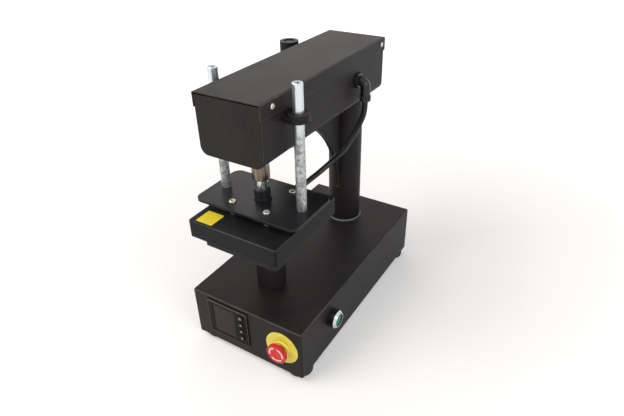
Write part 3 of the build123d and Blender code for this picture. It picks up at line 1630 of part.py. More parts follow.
# Stem of the emergency stop: slides in the collar and carries the mushroom on a spigot
estop_stem_profile = (
    (0, -estop_stem_back),
    (estop_stem_radius, -estop_stem_back),
    (estop_stem_radius, estop_head_back),
    (estop_spigot_radius, estop_head_back),
    (estop_spigot_radius, estop_head_back + estop_spigot_length),
    (0, estop_head_back + estop_spigot_length),
)
with BuildPart() as estop_stem:
    add(turned(estop_stem_profile, estop_seat, to_front))
estop_stem.part.label = "estop_stem"
export_step(estop_stem.part, "parts/estop_stem.step")

# Mushroom head: flared skirt, rounded rim and a dished face with a hollow in its middle
spigot_bore = estop_spigot_radius + running_fit
spigot_end = estop_head_back + estop_spigot_length + loose_fit
rim_share = math.sin(math.pi / 4)
rim_middle_radius = estop_face_radius + rim_share * (estop_head_radius - estop_face_radius)
rim_middle_level = estop_skirt_front + rim_share * (estop_proud - estop_skirt_front)
dish_level = estop_proud - estop_dish
with BuildPart() as estop_mushroom:
    with BuildSketch(turning_plane(estop_seat, to_front)):
        with BuildLine():
            Polyline(
                (0, spigot_end),
                (spigot_bore, spigot_end),
                (spigot_bore, estop_head_back),
                (estop_head_waist, estop_head_back),
                (estop_head_radius, estop_skirt_back),
                (estop_head_radius, estop_skirt_front),
            )
            ThreePointArc(
                (estop_head_radius, estop_skirt_front),
                (rim_middle_radius, rim_middle_level),
                (estop_face_radius, estop_proud),
            )
            Polyline(
                (estop_face_radius, estop_proud),
                (estop_dish_radius, dish_level),
                (estop_hub_radius, dish_level),
                (estop_hub_radius - estop_hub, dish_level - estop_hub),
                (0, dish_level - estop_hub),
                (0, spigot_end),
            )
        make_face()
    revolve(axis=Axis(estop_seat, to_front))
estop_mushroom.part.label = "estop_mushroom"
export_step(estop_mushroom.part, "parts/estop_mushroom.step")

# Start buttons: barrel and bevelled rim in one, threaded through the wall, with a nut behind it
start_stem_bore = start_stem_radius + running_fit
start_bore_floor = start_cap_back - start_travel - button_end_gap
start_stem_back = start_thread_back - start_travel - button_end_gap
start_bezel_profile = (
    (start_stem_bore, -start_thread_back),
    (panel_thread_radius, -start_thread_back),
    (panel_thread_radius, 0),
    (start_radius, 0),
    (start_radius, start_barrel + start_rim_side),
    (start_rim_radius, start_proud),
    (start_bore_radius, start_proud),
    (start_bore_radius, start_bore_floor),
    (start_stem_bore, start_bore_floor),
)
start_seats = (
    (Vector(wall_x, start_y, start_level), to_right),
    (Vector(-wall_x, start_y, start_level), to_left),
)
start_bezel_parts = [turned(start_bezel_profile, seat, direction) for seat, direction in start_seats]
with BuildPart() as start_bezels:
    add(start_bezel_parts)
    with BuildSketch(facing_right(wall_x - base_sheet), facing_right(-wall_x + base_sheet + panel_nut_height)):
        with Locations((start_y, start_level)):
            RegularPolygon(panel_nut_flats / 2, 6, major_radius=False)
            Circle(panel_thread_radius + running_fit, mode=Mode.SUBTRACT)
    extrude(amount=-panel_nut_height)
start_bezels.part.label = "start_bezels"
export_step(start_bezels.part, "parts/start_bezels.step")

# Caps of the start buttons, one part for each side
start_cap_front = start_proud - start_cap_recess
start_cap_radius = start_bore_radius - start_cap_clearance
start_cap_profile = (
    (0, -start_stem_back),
    (start_stem_radius, -start_stem_back),
    (start_stem_radius, start_cap_back),
    (start_cap_radius, start_cap_back),
    (start_cap_radius, start_cap_front - start_cap_edge),
    (start_cap_radius - start_cap_edge, start_cap_front),
    (0, start_cap_front),
)
for name, (seat, direction) in zip(("start_cap_right", "start_cap_left"), start_seats):
    start_cap = turned(start_cap_profile, seat, direction)
    start_cap.label = name
    export_step(start_cap, f"parts/{name}.step")

# Contact blocks behind the emergency stop and the two start buttons
with BuildPart() as contact_blocks:
    with BuildSketch(facing_front(front_y + panel_thread_length)):
        with Locations((estop_x, estop_seat.Z)):
            RectangleRounded(contact_width, contact_height, contact_edge)
    extrude(amount=-contact_depth)
    with BuildSketch(facing_right(wall_x - start_thread_back)):
        with Locations((start_y, start_level)):
            RectangleRounded(contact_width, contact_height, contact_edge)
    extrude(amount=-contact_depth)
    mirrored_block = contact_blocks.solids().sort_by(Axis.Y)[-1]
    mirror(mirrored_block, about=Plane.YZ)
contact_blocks.part.label = "contact_blocks"
export_step(contact_blocks.part, "parts/contact_blocks.step")

# Power inlet module in the rear wall: flange, body, socket hollow with three pins, rocker well
inlet_level = inlet_z + foot_height
socket_level = inlet_level - socket_drop
rocker_level = inlet_level + rocker_rise
inlet_face = rear_y + inlet_flange
rocker_axis_y = inlet_face - rocker_pivot_depth
with BuildPart() as power_inlet:
    with BuildSketch(facing_front(rear_y)):
        with Locations((inlet_x, inlet_level)):
            RectangleRounded(inlet_width, inlet_height, inlet_corner)
    extrude(amount=-inlet_flange)
    chamfer(power_inlet.faces().sort_by(Axis.Y)[-1].edges(), length=inlet_edge)
    with BuildSketch(facing_front(rear_y)):
        with Locations((inlet_x, inlet_level)):
            Rectangle(inlet_width - 2 * inlet_body_margin, inlet_height - 2 * inlet_body_margin)
    extrude(amount=inlet_body_depth)
    with BuildSketch(facing_front(inlet_face)):
        with Locations((inlet_x, socket_level)):
            RectangleRounded(socket_width, socket_height, socket_edge)
        with Locations((inlet_x - socket_width / 2, socket_level + socket_height / 2)):
            Rectangle(socket_corner, socket_corner, rotation=45, mode=Mode.SUBTRACT)
        with Locations((inlet_x + socket_width / 2, socket_level + socket_height / 2)):
            Rectangle(socket_corner, socket_corner, rotation=45, mode=Mode.SUBTRACT)
    extrude(amount=socket_hollow, mode=Mode.SUBTRACT)
    with BuildSketch(facing_front(inlet_face - socket_hollow)):
        with Locations(
            (inlet_x - pin_spacing, socket_level - pin_thick / 2),
            (inlet_x, socket_level + pin_thick),
            (inlet_x + pin_spacing, socket_level - pin_thick / 2),
        ):
            Rectangle(pin_thick, pin_height)
    extrude(amount=-pin_length)
    with BuildSketch(facing_front(inlet_face)):
        with Locations((inlet_x, rocker_level)):
            Rectangle(rocker_width + 2 * rocker_side_gap, rocker_height + 2 * rocker_end_gap)
    extrude(amount=rocker_well_depth, mode=Mode.SUBTRACT)
    with BuildSketch(facing_right(inlet_x)):
        with Locations((rocker_axis_y, rocker_level)):
            Circle(rocker_pin_radius + running_fit)
    extrude(
        amount=rocker_width / 2 + rocker_side_gap + rocker_pin_length + rocker_side_gap,
        both=True,
        mode=Mode.SUBTRACT,
    )
power_inlet.part.label = "power_inlet"
export_step(power_inlet.part, "parts/power_inlet.step")

# Rocker with its two pins, resting with the upper end out
with BuildPart() as rocker_blank:
    with BuildSketch(Plane.XY):
        with BuildLine():
            Polyline(
                (-rocker_height / 2, -rocker_back),
                (rocker_height / 2, -rocker_back),
                (rocker_height / 2, rocker_face),
                (0, rocker_face - rocker_waist),
                (-rocker_height / 2, rocker_face),
                close=True,
            )
        make_face()
    extrude(amount=rocker_width / 2, both=True)
    with BuildSketch(Plane.XY):
        Circle(rocker_pin_radius)
    extrude(amount=rocker_width / 2 + rocker_side_gap + rocker_pin_length, both=True)
rocker_up = Vector(0, math.sin(rocker_lean), math.cos(rocker_lean))
rocker_place = Plane(origin=(inlet_x, rocker_axis_y, rocker_level), x_dir=rocker_up, z_dir=to_left)
with BuildPart() as rocker_switch:
    with Locations(rocker_place):
        add(rocker_blank.part)
rocker_switch.part.label = "rocker_switch"
export_step(rocker_switch.part, "parts/rocker_switch.step")

# Solid state relay on the base plate, with four terminals
relay_y = front_y + relay_setback
with BuildPart() as power_relay:
    with BuildSketch(level(floor_inside)):
        with Locations((0, relay_y)):
            RectangleRounded(relay_width, relay_length, relay_edge)
    extrude(amount=relay_height)
    chamfer(power_relay.faces().sort_by(Axis.Z)[-1].edges(), length=relay_edge)
    with BuildSketch(level(floor_inside + relay_height)):
        with Locations((0, relay_y)):
            with GridLocations(relay_width / 2, relay_length * 2 / 3, 2, 2):
                Circle(relay_terminal_radius)
    extrude(amount=relay_terminal_height)
power_relay.part.label = "power_relay"
export_step(power_relay.part, "parts/power_relay.step")
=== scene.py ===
import bpy
import bmesh
import math
from mathutils import Matrix, Vector


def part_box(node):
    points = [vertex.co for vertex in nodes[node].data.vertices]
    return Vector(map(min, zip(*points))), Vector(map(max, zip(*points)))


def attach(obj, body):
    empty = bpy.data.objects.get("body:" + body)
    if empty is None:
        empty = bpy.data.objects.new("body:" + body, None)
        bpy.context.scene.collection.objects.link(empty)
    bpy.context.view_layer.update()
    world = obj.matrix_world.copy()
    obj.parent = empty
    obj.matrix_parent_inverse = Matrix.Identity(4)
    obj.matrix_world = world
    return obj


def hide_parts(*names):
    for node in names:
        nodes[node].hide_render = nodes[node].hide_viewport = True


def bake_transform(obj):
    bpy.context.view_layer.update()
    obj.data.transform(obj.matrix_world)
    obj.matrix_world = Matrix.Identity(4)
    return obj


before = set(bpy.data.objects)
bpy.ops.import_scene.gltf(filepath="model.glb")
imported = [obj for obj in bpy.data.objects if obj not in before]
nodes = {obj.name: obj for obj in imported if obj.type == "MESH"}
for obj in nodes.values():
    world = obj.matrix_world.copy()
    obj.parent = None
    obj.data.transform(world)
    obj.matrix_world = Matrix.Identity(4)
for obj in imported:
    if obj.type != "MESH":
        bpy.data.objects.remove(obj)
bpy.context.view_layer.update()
scene = bpy.context.scene
scene.view_settings.view_transform = "Standard"
print("frame loaded:", len(nodes), "nodes")


def deselectAll():
    bpy.ops.object.select_all(action="DESELECT")


def linearColour(hexCode):
    # sRGB hex to the linear values that shader sockets want
    values = [int(hexCode[i:i + 2], 16) / 255 for i in (1, 3, 5)]
    return [v / 12.92 if v <= 0.04045 else ((v + 0.055) / 1.055) ** 2.4 for v in values] + [1.0]


def perMillimetre(size):
    # noise scale whose blotches are about this many millimetres across
    return 1000.0 / size


def addNode(tree, kind, settings, links):
    node = tree.nodes.new(kind)
    for name, value in settings.items():
        if isinstance(name, str) and hasattr(node, name):
            setattr(node, name, value)
        else:
            node.inputs[name].default_value = value
    for name, source in links.items():
        tree.links.new(source, node.inputs[name])
    return node


# Camera above the head, to the right of the front
cameraSet = {"place": (0.39338, -0.61003, 0.63919), "azimuth": 32.37, "elevation": 32.43, "roll": -1.4,
             "lens": 30.13, "clip": (0.05, 50)}
turn, tilt = math.radians(cameraSet["azimuth"]), math.radians(cameraSet["elevation"])
lookBack = Vector((math.sin(turn) * math.cos(tilt), -math.cos(turn) * math.cos(tilt), math.sin(tilt)))
bpy.ops.object.camera_add(location=cameraSet["place"])
camera = bpy.context.object
camera.name = "photoCamera"
camera.data.lens = cameraSet["lens"]
camera.data.clip_start, camera.data.clip_end = cameraSet["clip"]
camera.rotation_mode = "QUATERNION"
rollTurn = Matrix.Rotation(math.radians(cameraSet["roll"]), 4, "Z").to_quaternion()
camera.rotation_quaternion = (-lookBack).to_track_quat("-Z", "Y") @ rollTurn
scene.camera = camera
print("camera placed")

# Pale studio: a matt floor, a soft sky that is darker at the horizon, and three soft boxes
studio = {
    "floor": "#EFEEEC", "floorSize": 14, "floorRough": 0.9,
    # how much the floor shines by itself, and at which distances that rise starts and ends
    "liftNear": 0.22, "liftFar": 0.95, "nearEdge": 0.35, "farEdge": 2.4,
    "horizon": "#8E9296", "sky": "#E4E6EA", "skyTop": 0.8, "skyStrength": 0.64,
    # each soft box: name, place, size, power, colour
    "boxes": [
        ("keyBox", (-0.75, -1.05, 1.55), 1.1, 19.0, "#FFF8F2"),
        ("sideBox", (1.35, -0.55, 1.10), 0.9, 8.5, "#FFFBF7"),
        ("backBox", (-0.80, 1.35, 1.60), 1.2, 5.0, "#FFEDE4"),
    ],
    "aim": (0.0, -0.02, 0.2),
}
bpy.ops.mesh.primitive_plane_add(size=studio["floorSize"], location=(0, 0, 0))
floor = bpy.context.object
floor.name = "studioFloor"
floorPaint = bpy.data.materials.new("mattFloor")
floorPaint.use_nodes = True
floorTree = floorPaint.node_tree
floorShader = floorTree.nodes["Principled BSDF"]
floorShader.inputs["Base Color"].default_value = linearColour(studio["floor"])
floorShader.inputs["Roughness"].default_value = studio["floorRough"]


def seenBy(tree):
    # 1 where the surface or sky is looked at, straight, mirrored or through glass,
    # and 0 where it lights the press
    path = addNode(tree, "ShaderNodeLightPath", {}, {})
    straight = addNode(tree, "ShaderNodeMath", {"operation": "ADD", "use_clamp": True},
                       {0: path.outputs["Is Camera Ray"], 1: path.outputs["Is Glossy Ray"]})
    return addNode(tree, "ShaderNodeMath", {"operation": "ADD", "use_clamp": True},
                   {0: straight.outputs[0], 1: path.outputs["Is Transmission Ray"]})


floorSeen = seenBy(floorTree)
# the floor stays white where the lamps no longer reach
floorPlace = addNode(floorTree, "ShaderNodeNewGeometry", {}, {})
floorReach = addNode(floorTree, "ShaderNodeVectorMath", {"operation": "LENGTH"},
                     {0: floorPlace.outputs["Position"]})
floorRise = addNode(floorTree, "ShaderNodeMapRange",
                    {"From Min": studio["nearEdge"], "From Max": studio["farEdge"],
                     "To Min": studio["liftNear"], "To Max": studio["liftFar"]},
                    {"Value": floorReach.outputs["Value"]})
floorLift = addNode(floorTree, "ShaderNodeMath", {"operation": "MULTIPLY"},
                    {0: floorSeen.outputs[0], 1: floorRise.outputs["Result"]})
floorGlow = addNode(floorTree, "ShaderNodeEmission", {}, {"Strength": floorLift.outputs[0]})
floorBoth = addNode(floorTree, "ShaderNodeAddShader", {},
                    {0: floorShader.outputs[0], 1: floorGlow.outputs[0]})
floorTree.links.new(floorBoth.outputs[0], floorTree.nodes["Material Output"].inputs["Surface"])
floor.data.materials.append(floorPaint)
world = bpy.data.worlds.new("softSky")
world.use_nodes = True
scene.world = world
skyTree = world.node_tree
skyLight = skyTree.nodes["Background"]
skyPlace = addNode(skyTree, "ShaderNodeTexCoord", {}, {})
skyHeight = addNode(skyTree, "ShaderNodeSeparateXYZ", {}, {0: skyPlace.outputs["Generated"]})
skyRise = addNode(skyTree, "ShaderNodeMapRange", {"From Min": 0.0, "From Max": studio["skyTop"]},
                  {"Value": skyHeight.outputs["Z"]})
skyMix = addNode(skyTree, "ShaderNodeMix",
                 {"data_type": "RGBA", 6: linearColour(studio["horizon"]), 7: linearColour(studio["sky"])},
                 {0: skyRise.outputs["Result"]})
skyLight.inputs["Strength"].default_value = studio["skyStrength"]
skyTree.links.new(skyMix.outputs[2], skyLight.inputs["Color"])
skySeen = seenBy(skyTree)
plainWhite = addNode(skyTree, "ShaderNodeBackground", {"Color": (1, 1, 1, 1)}, {})
skyBoth = addNode(skyTree, "ShaderNodeMixShader", {},
                  {0: skySeen.outputs[0], 1: skyLight.outputs[0], 2: plainWhite.outputs[0]})
skyTree.links.new(skyBoth.outputs[0], skyTree.nodes["World Output"].inputs["Surface"])
for boxName, boxPlace, boxSize, boxPower, boxColour in studio["boxes"]:
    bpy.ops.object.light_add(type="AREA", location=boxPlace)
    softBox = bpy.context.object
    softBox.name = boxName
    softBox.data.size = boxSize
    softBox.data.energy = boxPower
    softBox.data.color = linearColour(boxColour)[:3]
    softBox.rotation_euler = (Vector(studio["aim"]) - Vector(boxPlace)).to_track_quat("-Z", "Y").to_euler()
print("studio lit")


# What all finishes share. The two noises are mixed, and "colour", "rough" and "highlightPatches" are the
# stretches of that mix over which the colour, the roughness and the painted edge highlight change. "edge" is
# in millimetres.
shared = {"stretch": (1, 1, 1), "cloudDetail": 3.0, "grainDetail": 2.0, "grainShare": 0.4,
          "colour": (0.36, 0.64), "rough": (0.3, 0.7), "edge": 0.4, "edgeSamples": 6,
          "edgeTurn": (0.992, 0.86), "highlightPatches": (0.35, 0.6), "leastHighlight": 0.35,
          "bendSlope": 0.6, "bendReach": 0.26}


# Finishes. Each look starts from the real material; grain sizes are in millimetres.
def makeFinish(name, look):
    material = bpy.data.materials.new(name)
    material.use_nodes = True
    tree = material.node_tree
    shader = tree.nodes["Principled BSDF"]
    for socket, value in look["shader"].items():
        shader.inputs[socket].default_value = value
    place = addNode(tree, "ShaderNodeTexCoord", {}, {})
    stretch = addNode(tree, "ShaderNodeMapping", {"Scale": look.get("stretch", shared["stretch"])},
                      {"Vector": place.outputs["Object"]})
    cloud = addNode(tree, "ShaderNodeTexNoise",
                    {"Scale": perMillimetre(look["cloud"]), "Detail": shared["cloudDetail"]},
                    {"Vector": place.outputs["Object"]})
    grain = addNode(tree, "ShaderNodeTexNoise",
                    {"Scale": perMillimetre(look["grain"]), "Detail": shared["grainDetail"]},
                    {"Vector": stretch.outputs["Vector"]})
    both = addNode(tree, "ShaderNodeMix",
                   {"data_type": "FLOAT", 0: look.get("grainShare", shared["grainShare"])},
                   {2: cloud.outputs["Fac"], 3: grain.outputs["Fac"]})
    spread = addNode(tree, "ShaderNodeMapRange",
                     {"From Min": shared["colour"][0], "From Max": shared["colour"][1]},
                     {"Value": both.outputs[0]})
    colour = addNode(tree, "ShaderNodeMix",
                     {"data_type": "RGBA", 6: linearColour(look["dark"]), 7: linearColour(look["light"])},
                     {0: spread.outputs["Result"]})
    rough = addNode(tree, "ShaderNodeMapRange",
                    {"From Min": shared["rough"][0], "From Max": shared["rough"][1],
                     "To Min": look["rough"][0], "To Max": look["rough"][1]},
                    {"Value": both.outputs[0]})
    edge = addNode(tree, "ShaderNodeBevel",
                   {"samples": shared["edgeSamples"], "Radius": look.get("edge", shared["edge"]) / 1000}, {})
    bump = addNode(tree, "ShaderNodeBump", {"Strength": look["bump"], "Distance": look["grain"] / 1000},
                   {"Height": grain.outputs["Fac"], "Normal": edge.outputs["Normal"]})
    # edges, and bends where asked, are painted paler as a highlight, patchy with noise
    tint = paintEdgeHighlight(tree, look, both, edge, colour) if "edgeHighlight" in look else colour
    tree.links.new(tint.outputs[2], shader.inputs["Base Color"])
    tree.links.new(rough.outputs["Result"], shader.inputs["Roughness"])
    tree.links.new(bump.outputs["Normal"], shader.inputs["Normal"])
    return material


def paintEdgeHighlight(tree, look, noise, edge, colour):
    # the rounded normal leaves the true one only along an edge, which is painted paler there as a highlight
    face = addNode(tree, "ShaderNodeNewGeometry", {}, {})
    turned = addNode(tree, "ShaderNodeVectorMath", {"operation": "DOT_PRODUCT"},
                     {0: edge.outputs["Normal"], 1: face.outputs["True Normal"]})
    litEdge = addNode(tree, "ShaderNodeMapRange",
                   {"From Min": shared["edgeTurn"][0], "From Max": shared["edgeTurn"][1]},
                   {"Value": turned.outputs["Value"]})
    uneven = addNode(tree, "ShaderNodeMapRange",
                     {"From Min": shared["highlightPatches"][0], "From Max": shared["highlightPatches"][1],
                      "To Min": shared["leastHighlight"], "To Max": look["highlightShare"]},
                     {"Value": noise.outputs[0]})
    # a bend from a level top to an upright wall gets the painted highlight too, over the slopes that are near
    # neither
    slope = addNode(tree, "ShaderNodeSeparateXYZ", {}, {0: face.outputs["True Normal"]})
    bend = addNode(tree, "ShaderNodeMath",
                   {"operation": "COMPARE", 1: shared["bendSlope"], 2: shared["bendReach"]},
                   {0: slope.outputs["Z"]})
    bendPart = addNode(tree, "ShaderNodeMath", {"operation": "MULTIPLY", 1: look.get("bendHighlightShare", 0)},
                       {0: bend.outputs[0]})
    litEdgeAndBend = addNode(tree, "ShaderNodeMath", {"operation": "MAXIMUM"},
                     {0: litEdge.outputs["Result"], 1: bendPart.outputs[0]})
    share = addNode(tree, "ShaderNodeMath", {"operation": "MULTIPLY"},
                    {0: litEdgeAndBend.outputs[0], 1: uneven.outputs["Result"]})
    return addNode(tree, "ShaderNodeMix", {"data_type": "RGBA", 7: linearColour(look["edgeHighlight"])},
                   {0: share.outputs[0], 6: colour.outputs[2]})


# polyester powder coat on steel: fine orange peel, half gloss, with a painted highlight along the edges.
# Its grain is drawn at 1.8 mm because 0.3 mm can't show.
powderCoat = {"dark": "#1E1D1D", "light": "#2A2726", "cloud": 45, "grain": 1.8, "rough": (0.4, 0.54),
              "bump": 0.12, "edge": 0.9, "edgeHighlight": "#75716D", "highlightShare": 0.95, "shader": {"IOR": 1.23}}
finishes = {
    "powderCoat": powderCoat,
    # the same coat on folded sheet, with the painted highlight along the bends as well
    "foldedCoat": {**powderCoat, "bendHighlightShare": 0.42},
    # stove enamel on the mounting plate: smooth and glossy, mirrors the rods, with a painted highlight along
    # its edges
    "stoveEnamel": {"dark": "#16171A", "light": "#1F2024", "cloud": 30, "grain": 3, "rough": (0.26, 0.36),
                    "bump": 0.02, "edge": 0.6, "edgeHighlight": "#5A5A5C", "highlightShare": 0.8, "shader": {"IOR": 1.29}},
    # weld bead under a thin coat: smooth ripples, painted light grey as the highlight that they catch
    "weldBeadHighlight": {"dark": "#525258", "light": "#76767C", "cloud": 5, "grain": 1.6, "rough": (0.3, 0.42),
                 "bump": 0.2, "shader": {"IOR": 1.5}},
    # heat resistant satin paint on the pressed cover, with a painted highlight along its edges and bends
    "stovePaint": {"dark": "#1A1A1C", "light": "#242426", "cloud": 35, "grain": 1.6, "rough": (0.36, 0.5),
                   "bump": 0.1, "edge": 0.8, "edgeHighlight": "#6E6C6A", "highlightShare": 0.95,
                   "bendHighlightShare": 0.42, "shader": {"IOR": 1.18}},
    # nickel plated screws: bright, slightly warm
    "nickelPlate": {"dark": "#B9B4AA", "light": "#D9D5CC", "cloud": 6, "grain": 0.8, "rough": (0.2, 0.32),
                    "bump": 0.05, "shader": {"Metallic": 1.0}},
    # fresh bright zinc on the spacers, nearly white
    "brightZinc": {"dark": "#D3D8DE", "light": "#EEF1F4", "cloud": 5, "grain": 0.9, "rough": (0.25, 0.36),
                   "bump": 0.04, "shader": {"Metallic": 0.8}},
    # plain zinc dipped sheet and bolts
    "zincSheet": {"dark": "#8C8F92", "light": "#B4B6B8", "cloud": 14, "grain": 2, "rough": (0.35, 0.5),
                  "bump": 0.05, "shader": {"Metallic": 1.0}},
    # ground hard chrome on the piston rod, its colour a painted reflection: dim warm brown with long streaks
    "chromePaintedReflection": {"dark": "#51453B", "light": "#8C7D70", "cloud": 14, "grain": 2.2, "grainShare": 0.75,
                   "rough": (0.12, 0.22), "bump": 0.02, "stretch": (1, 1, 0.05), "shader": {"Metallic": 1.0}},
    # blackened steel of the coupling: oily, dark, still metal
    "blackOxide": {"dark": "#2A2B2F", "light": "#414246", "cloud": 8, "grain": 1, "rough": (0.3, 0.45),
                   "bump": 0.05, "shader": {"Metallic": 0.7}},
    # machined and anodised aluminium
    "aluminium": {"dark": "#8F9194", "light": "#B6B8BA", "cloud": 20, "grain": 0.9, "rough": (0.3, 0.42),
                  "bump": 0.04, "stretch": (1, 8, 1), "shader": {"Metallic": 1.0}},
    # moulded rubber feet, dusty black
    "footRubber": {"dark": "#101010", "light": "#1D1C1C", "cloud": 12, "grain": 1.5, "rough": (0.6, 0.8),
                   "bump": 0.08, "shader": {"IOR": 1.5}},
    # silicone sponge of the lower pad: dull, close pores
    "siliconeSponge": {"dark": "#121212", "light": "#242322", "cloud": 18, "grain": 1.2, "rough": (0.7, 0.9),
                       "bump": 0.25, "shader": {"IOR": 1.41}},
    # silicone cable sheath: glossy, with one long highlight
    "cableSheath": {"dark": "#08080A", "light": "#101013", "cloud": 20, "grain": 3, "rough": (0.12, 0.2),
                    "bump": 0.02, "shader": {"IOR": 1.4}},
    # pressed ceramic fibre board
    "fibreBoard": {"dark": "#B3A992", "light": "#D8CFBA", "cloud": 15, "grain": 1.5, "rough": (0.8, 0.95),
                   "bump": 0.3, "shader": {"IOR": 1.5}},
    # moulded black plastic: ABS with a light spark texture
    "mouldedBlack": {"dark": "#18181A", "light": "#222325", "cloud": 15, "grain": 1.2, "rough": (0.36, 0.5),
                     "bump": 0.08, "shader": {"IOR": 1.3}},
    # glossier black nylon of the cable elbow and its nut
    "glossNylon": {"dark": "#17181B", "light": "#222428", "cloud": 10, "grain": 1.5, "rough": (0.22, 0.32),
                   "bump": 0.04, "edge": 0.7, "shader": {"IOR": 1.42}},
    # polished smoked acrylic over the display
    "smokedAcrylic": {"dark": "#2C2521", "light": "#352B26", "cloud": 40, "grain": 4, "rough": (0.08, 0.16),
                      "bump": 0.01, "shader": {"IOR": 1.2}},
    # key tops: charcoal silicone rubber
    "keyRubber": {"dark": "#1D1C1C", "light": "#2A2928", "cloud": 6, "grain": 0.8, "rough": (0.5, 0.65),
                  "bump": 0.06, "shader": {"IOR": 1.25}},
    # yellow nylon disc
    "yellowNylon": {"dark": "#F1E24A", "light": "#F8EE6A", "cloud": 14, "grain": 1.5, "rough": (0.4, 0.55),
                    "bump": 0.04, "shader": {"IOR": 1.5}},
    # green lens of the start buttons: clear plastic over a dark well
    "greenLens": {"dark": "#0E7C46", "light": "#139453", "cloud": 9, "grain": 2, "rough": (0.14, 0.22),
                  "bump": 0.02, "shader": {"IOR": 1.3}},
    # relay housing, pale nylon
    "paleNylon": {"dark": "#C4C3BC", "light": "#DCDBD4", "cloud": 14, "grain": 1.5, "rough": (0.45, 0.6),
                  "bump": 0.04, "shader": {"IOR": 1.5}},
    # nickel plated brass fittings
    "fittingBrass": {"dark": "#A08A4E", "light": "#C9B272", "cloud": 8, "grain": 1, "rough": (0.22, 0.35),
                     "bump": 0.03, "shader": {"Metallic": 1.0}},
    # polyurethane air tube
    "blueTube": {"dark": "#12337A", "light": "#1C479C", "cloud": 14, "grain": 2, "rough": (0.25, 0.35),
                 "bump": 0.02, "shader": {"IOR": 1.5}},
    # grey lacquer on the die cast regulator body
    "castGrey": {"dark": "#7C8084", "light": "#94989C", "cloud": 12, "grain": 1.6, "rough": (0.4, 0.55),
                 "bump": 0.10, "shader": {"IOR": 1.5}},
    # cloudy polycarbonate bowl
    "cloudyBowl": {"dark": "#9FA9AE", "light": "#BCC5C9", "cloud": 12, "grain": 3, "rough": (0.12, 0.2),
                   "bump": 0.02, "shader": {"IOR": 1.58, "Transmission Weight": 0.6}},
    # polished clear acrylic over the gauge
    "clearLens": {"dark": "#F4F6F7", "light": "#FBFCFC", "cloud": 20, "grain": 4, "rough": (0.02, 0.05),
                  "bump": 0.0, "shader": {"IOR": 1.49, "Transmission Weight": 1.0}},
    # red enamel on the gauge needle
    "needleRed": {"dark": "#B01810", "light": "#C8241A", "cloud": 6, "grain": 1, "rough": (0.35, 0.45),
                  "bump": 0.02, "shader": {"IOR": 1.5}},
    # glossy black rocker
    "glossBlack": {"dark": "#0E0E0F", "light": "#161617", "cloud": 12, "grain": 2, "rough": (0.14, 0.22),
                   "bump": 0.01, "shader": {"IOR": 1.5}},
    # bright turned steel rim of the start buttons
    "brightRim": {"dark": "#C4C6C8", "light": "#D4D5D6", "cloud": 9, "grain": 0.8, "rough": (0.12, 0.2),
                  "bump": 0.02, "shader": {"Metallic": 1.0}},
    # plain yellow paper label
    "labelYellow": {"dark": "#E2CB1C", "light": "#F0DB2E", "cloud": 10, "grain": 1.5, "rough": (0.45, 0.6),
                    "bump": 0.02, "shader": {"IOR": 1.5}},
    # white screen print
    "whitePrint": {"dark": "#B9BCBE", "light": "#D8DADB", "cloud": 3, "grain": 0.6, "rough": (0.5, 0.6),
                   "bump": 0.01, "shader": {"IOR": 1.5}},
    # dial card
    "dialCard": {"dark": "#E4E3DE", "light": "#F1F0EC", "cloud": 8, "grain": 1.2, "rough": (0.55, 0.7),
                 "bump": 0.01, "shader": {"IOR": 1.5}},
    # black dial print
    "dialInk": {"dark": "#131313", "light": "#1E1E1E", "cloud": 3, "grain": 0.6, "rough": (0.5, 0.6),
                "bump": 0.01, "shader": {"IOR": 1.5}},
}
made = {name: makeFinish(name, look) for name, look in finishes.items()}

# Zinc plated guide rods: bright and smooth where they slide, blotched and dull towards the plate
rodLook = {"metallic": 0.85, "dullFrom": 0.39, "dullTo": 0.36, "blotch": 4.5, "fleck": 1.6,
           "stain": (0.36, 0.66), "leastStain": 0.3, "bright": "#D0D5D8", "dull": "#868784",
           "rough": (0.3, 0.62), "bump": 0.12, "bumpDepth": 0.001}
rodZinc = bpy.data.materials.new("rodZinc")
rodZinc.use_nodes = True
rodTree = rodZinc.node_tree
rodShader = rodTree.nodes["Principled BSDF"]
rodShader.inputs["Metallic"].default_value = rodLook["metallic"]
rodPlace = addNode(rodTree, "ShaderNodeTexCoord", {}, {})
rodParts = addNode(rodTree, "ShaderNodeSeparateXYZ", {}, {0: rodPlace.outputs["Object"]})
rodWorn = addNode(rodTree, "ShaderNodeMapRange",
                  {"From Min": rodLook["dullFrom"], "From Max": rodLook["dullTo"]},
                  {"Value": rodParts.outputs["Z"]})
rodBlotch = addNode(rodTree, "ShaderNodeTexNoise", {"Scale": perMillimetre(rodLook["blotch"]), "Detail": 4.0},
                    {"Vector": rodPlace.outputs["Object"]})
rodFleck = addNode(rodTree, "ShaderNodeTexNoise", {"Scale": perMillimetre(rodLook["fleck"]), "Detail": 3.0},
                   {"Vector": rodPlace.outputs["Object"]})
rodStain = addNode(rodTree, "ShaderNodeMapRange",
                   {"From Min": rodLook["stain"][0], "From Max": rodLook["stain"][1],
                    "To Min": rodLook["leastStain"]},
                   {"Value": rodBlotch.outputs["Fac"]})
rodDull = addNode(rodTree, "ShaderNodeMath", {"operation": "MULTIPLY"},
                  {0: rodWorn.outputs["Result"], 1: rodStain.outputs["Result"]})
rodTint = addNode(rodTree, "ShaderNodeMix",
                  {"data_type": "RGBA", 6: linearColour(rodLook["bright"]), 7: linearColour(rodLook["dull"])},
                  {0: rodDull.outputs[0]})
rodRough = addNode(rodTree, "ShaderNodeMapRange",
                   {"To Min": rodLook["rough"][0], "To Max": rodLook["rough"][1]},
                   {"Value": rodDull.outputs[0]})
rodBump = addNode(rodTree, "ShaderNodeBump", {"Strength": rodLook["bump"], "Distance": rodLook["bumpDepth"]},
                  {"Height": rodFleck.outputs["Fac"]})
rodTree.links.new(rodTint.outputs[2], rodShader.inputs["Base Color"])
rodTree.links.new(rodRough.outputs["Result"], rodShader.inputs["Roughness"])
rodTree.links.new(rodBump.outputs["Normal"], rodShader.inputs["Normal"])
made["rodZinc"] = rodZinc

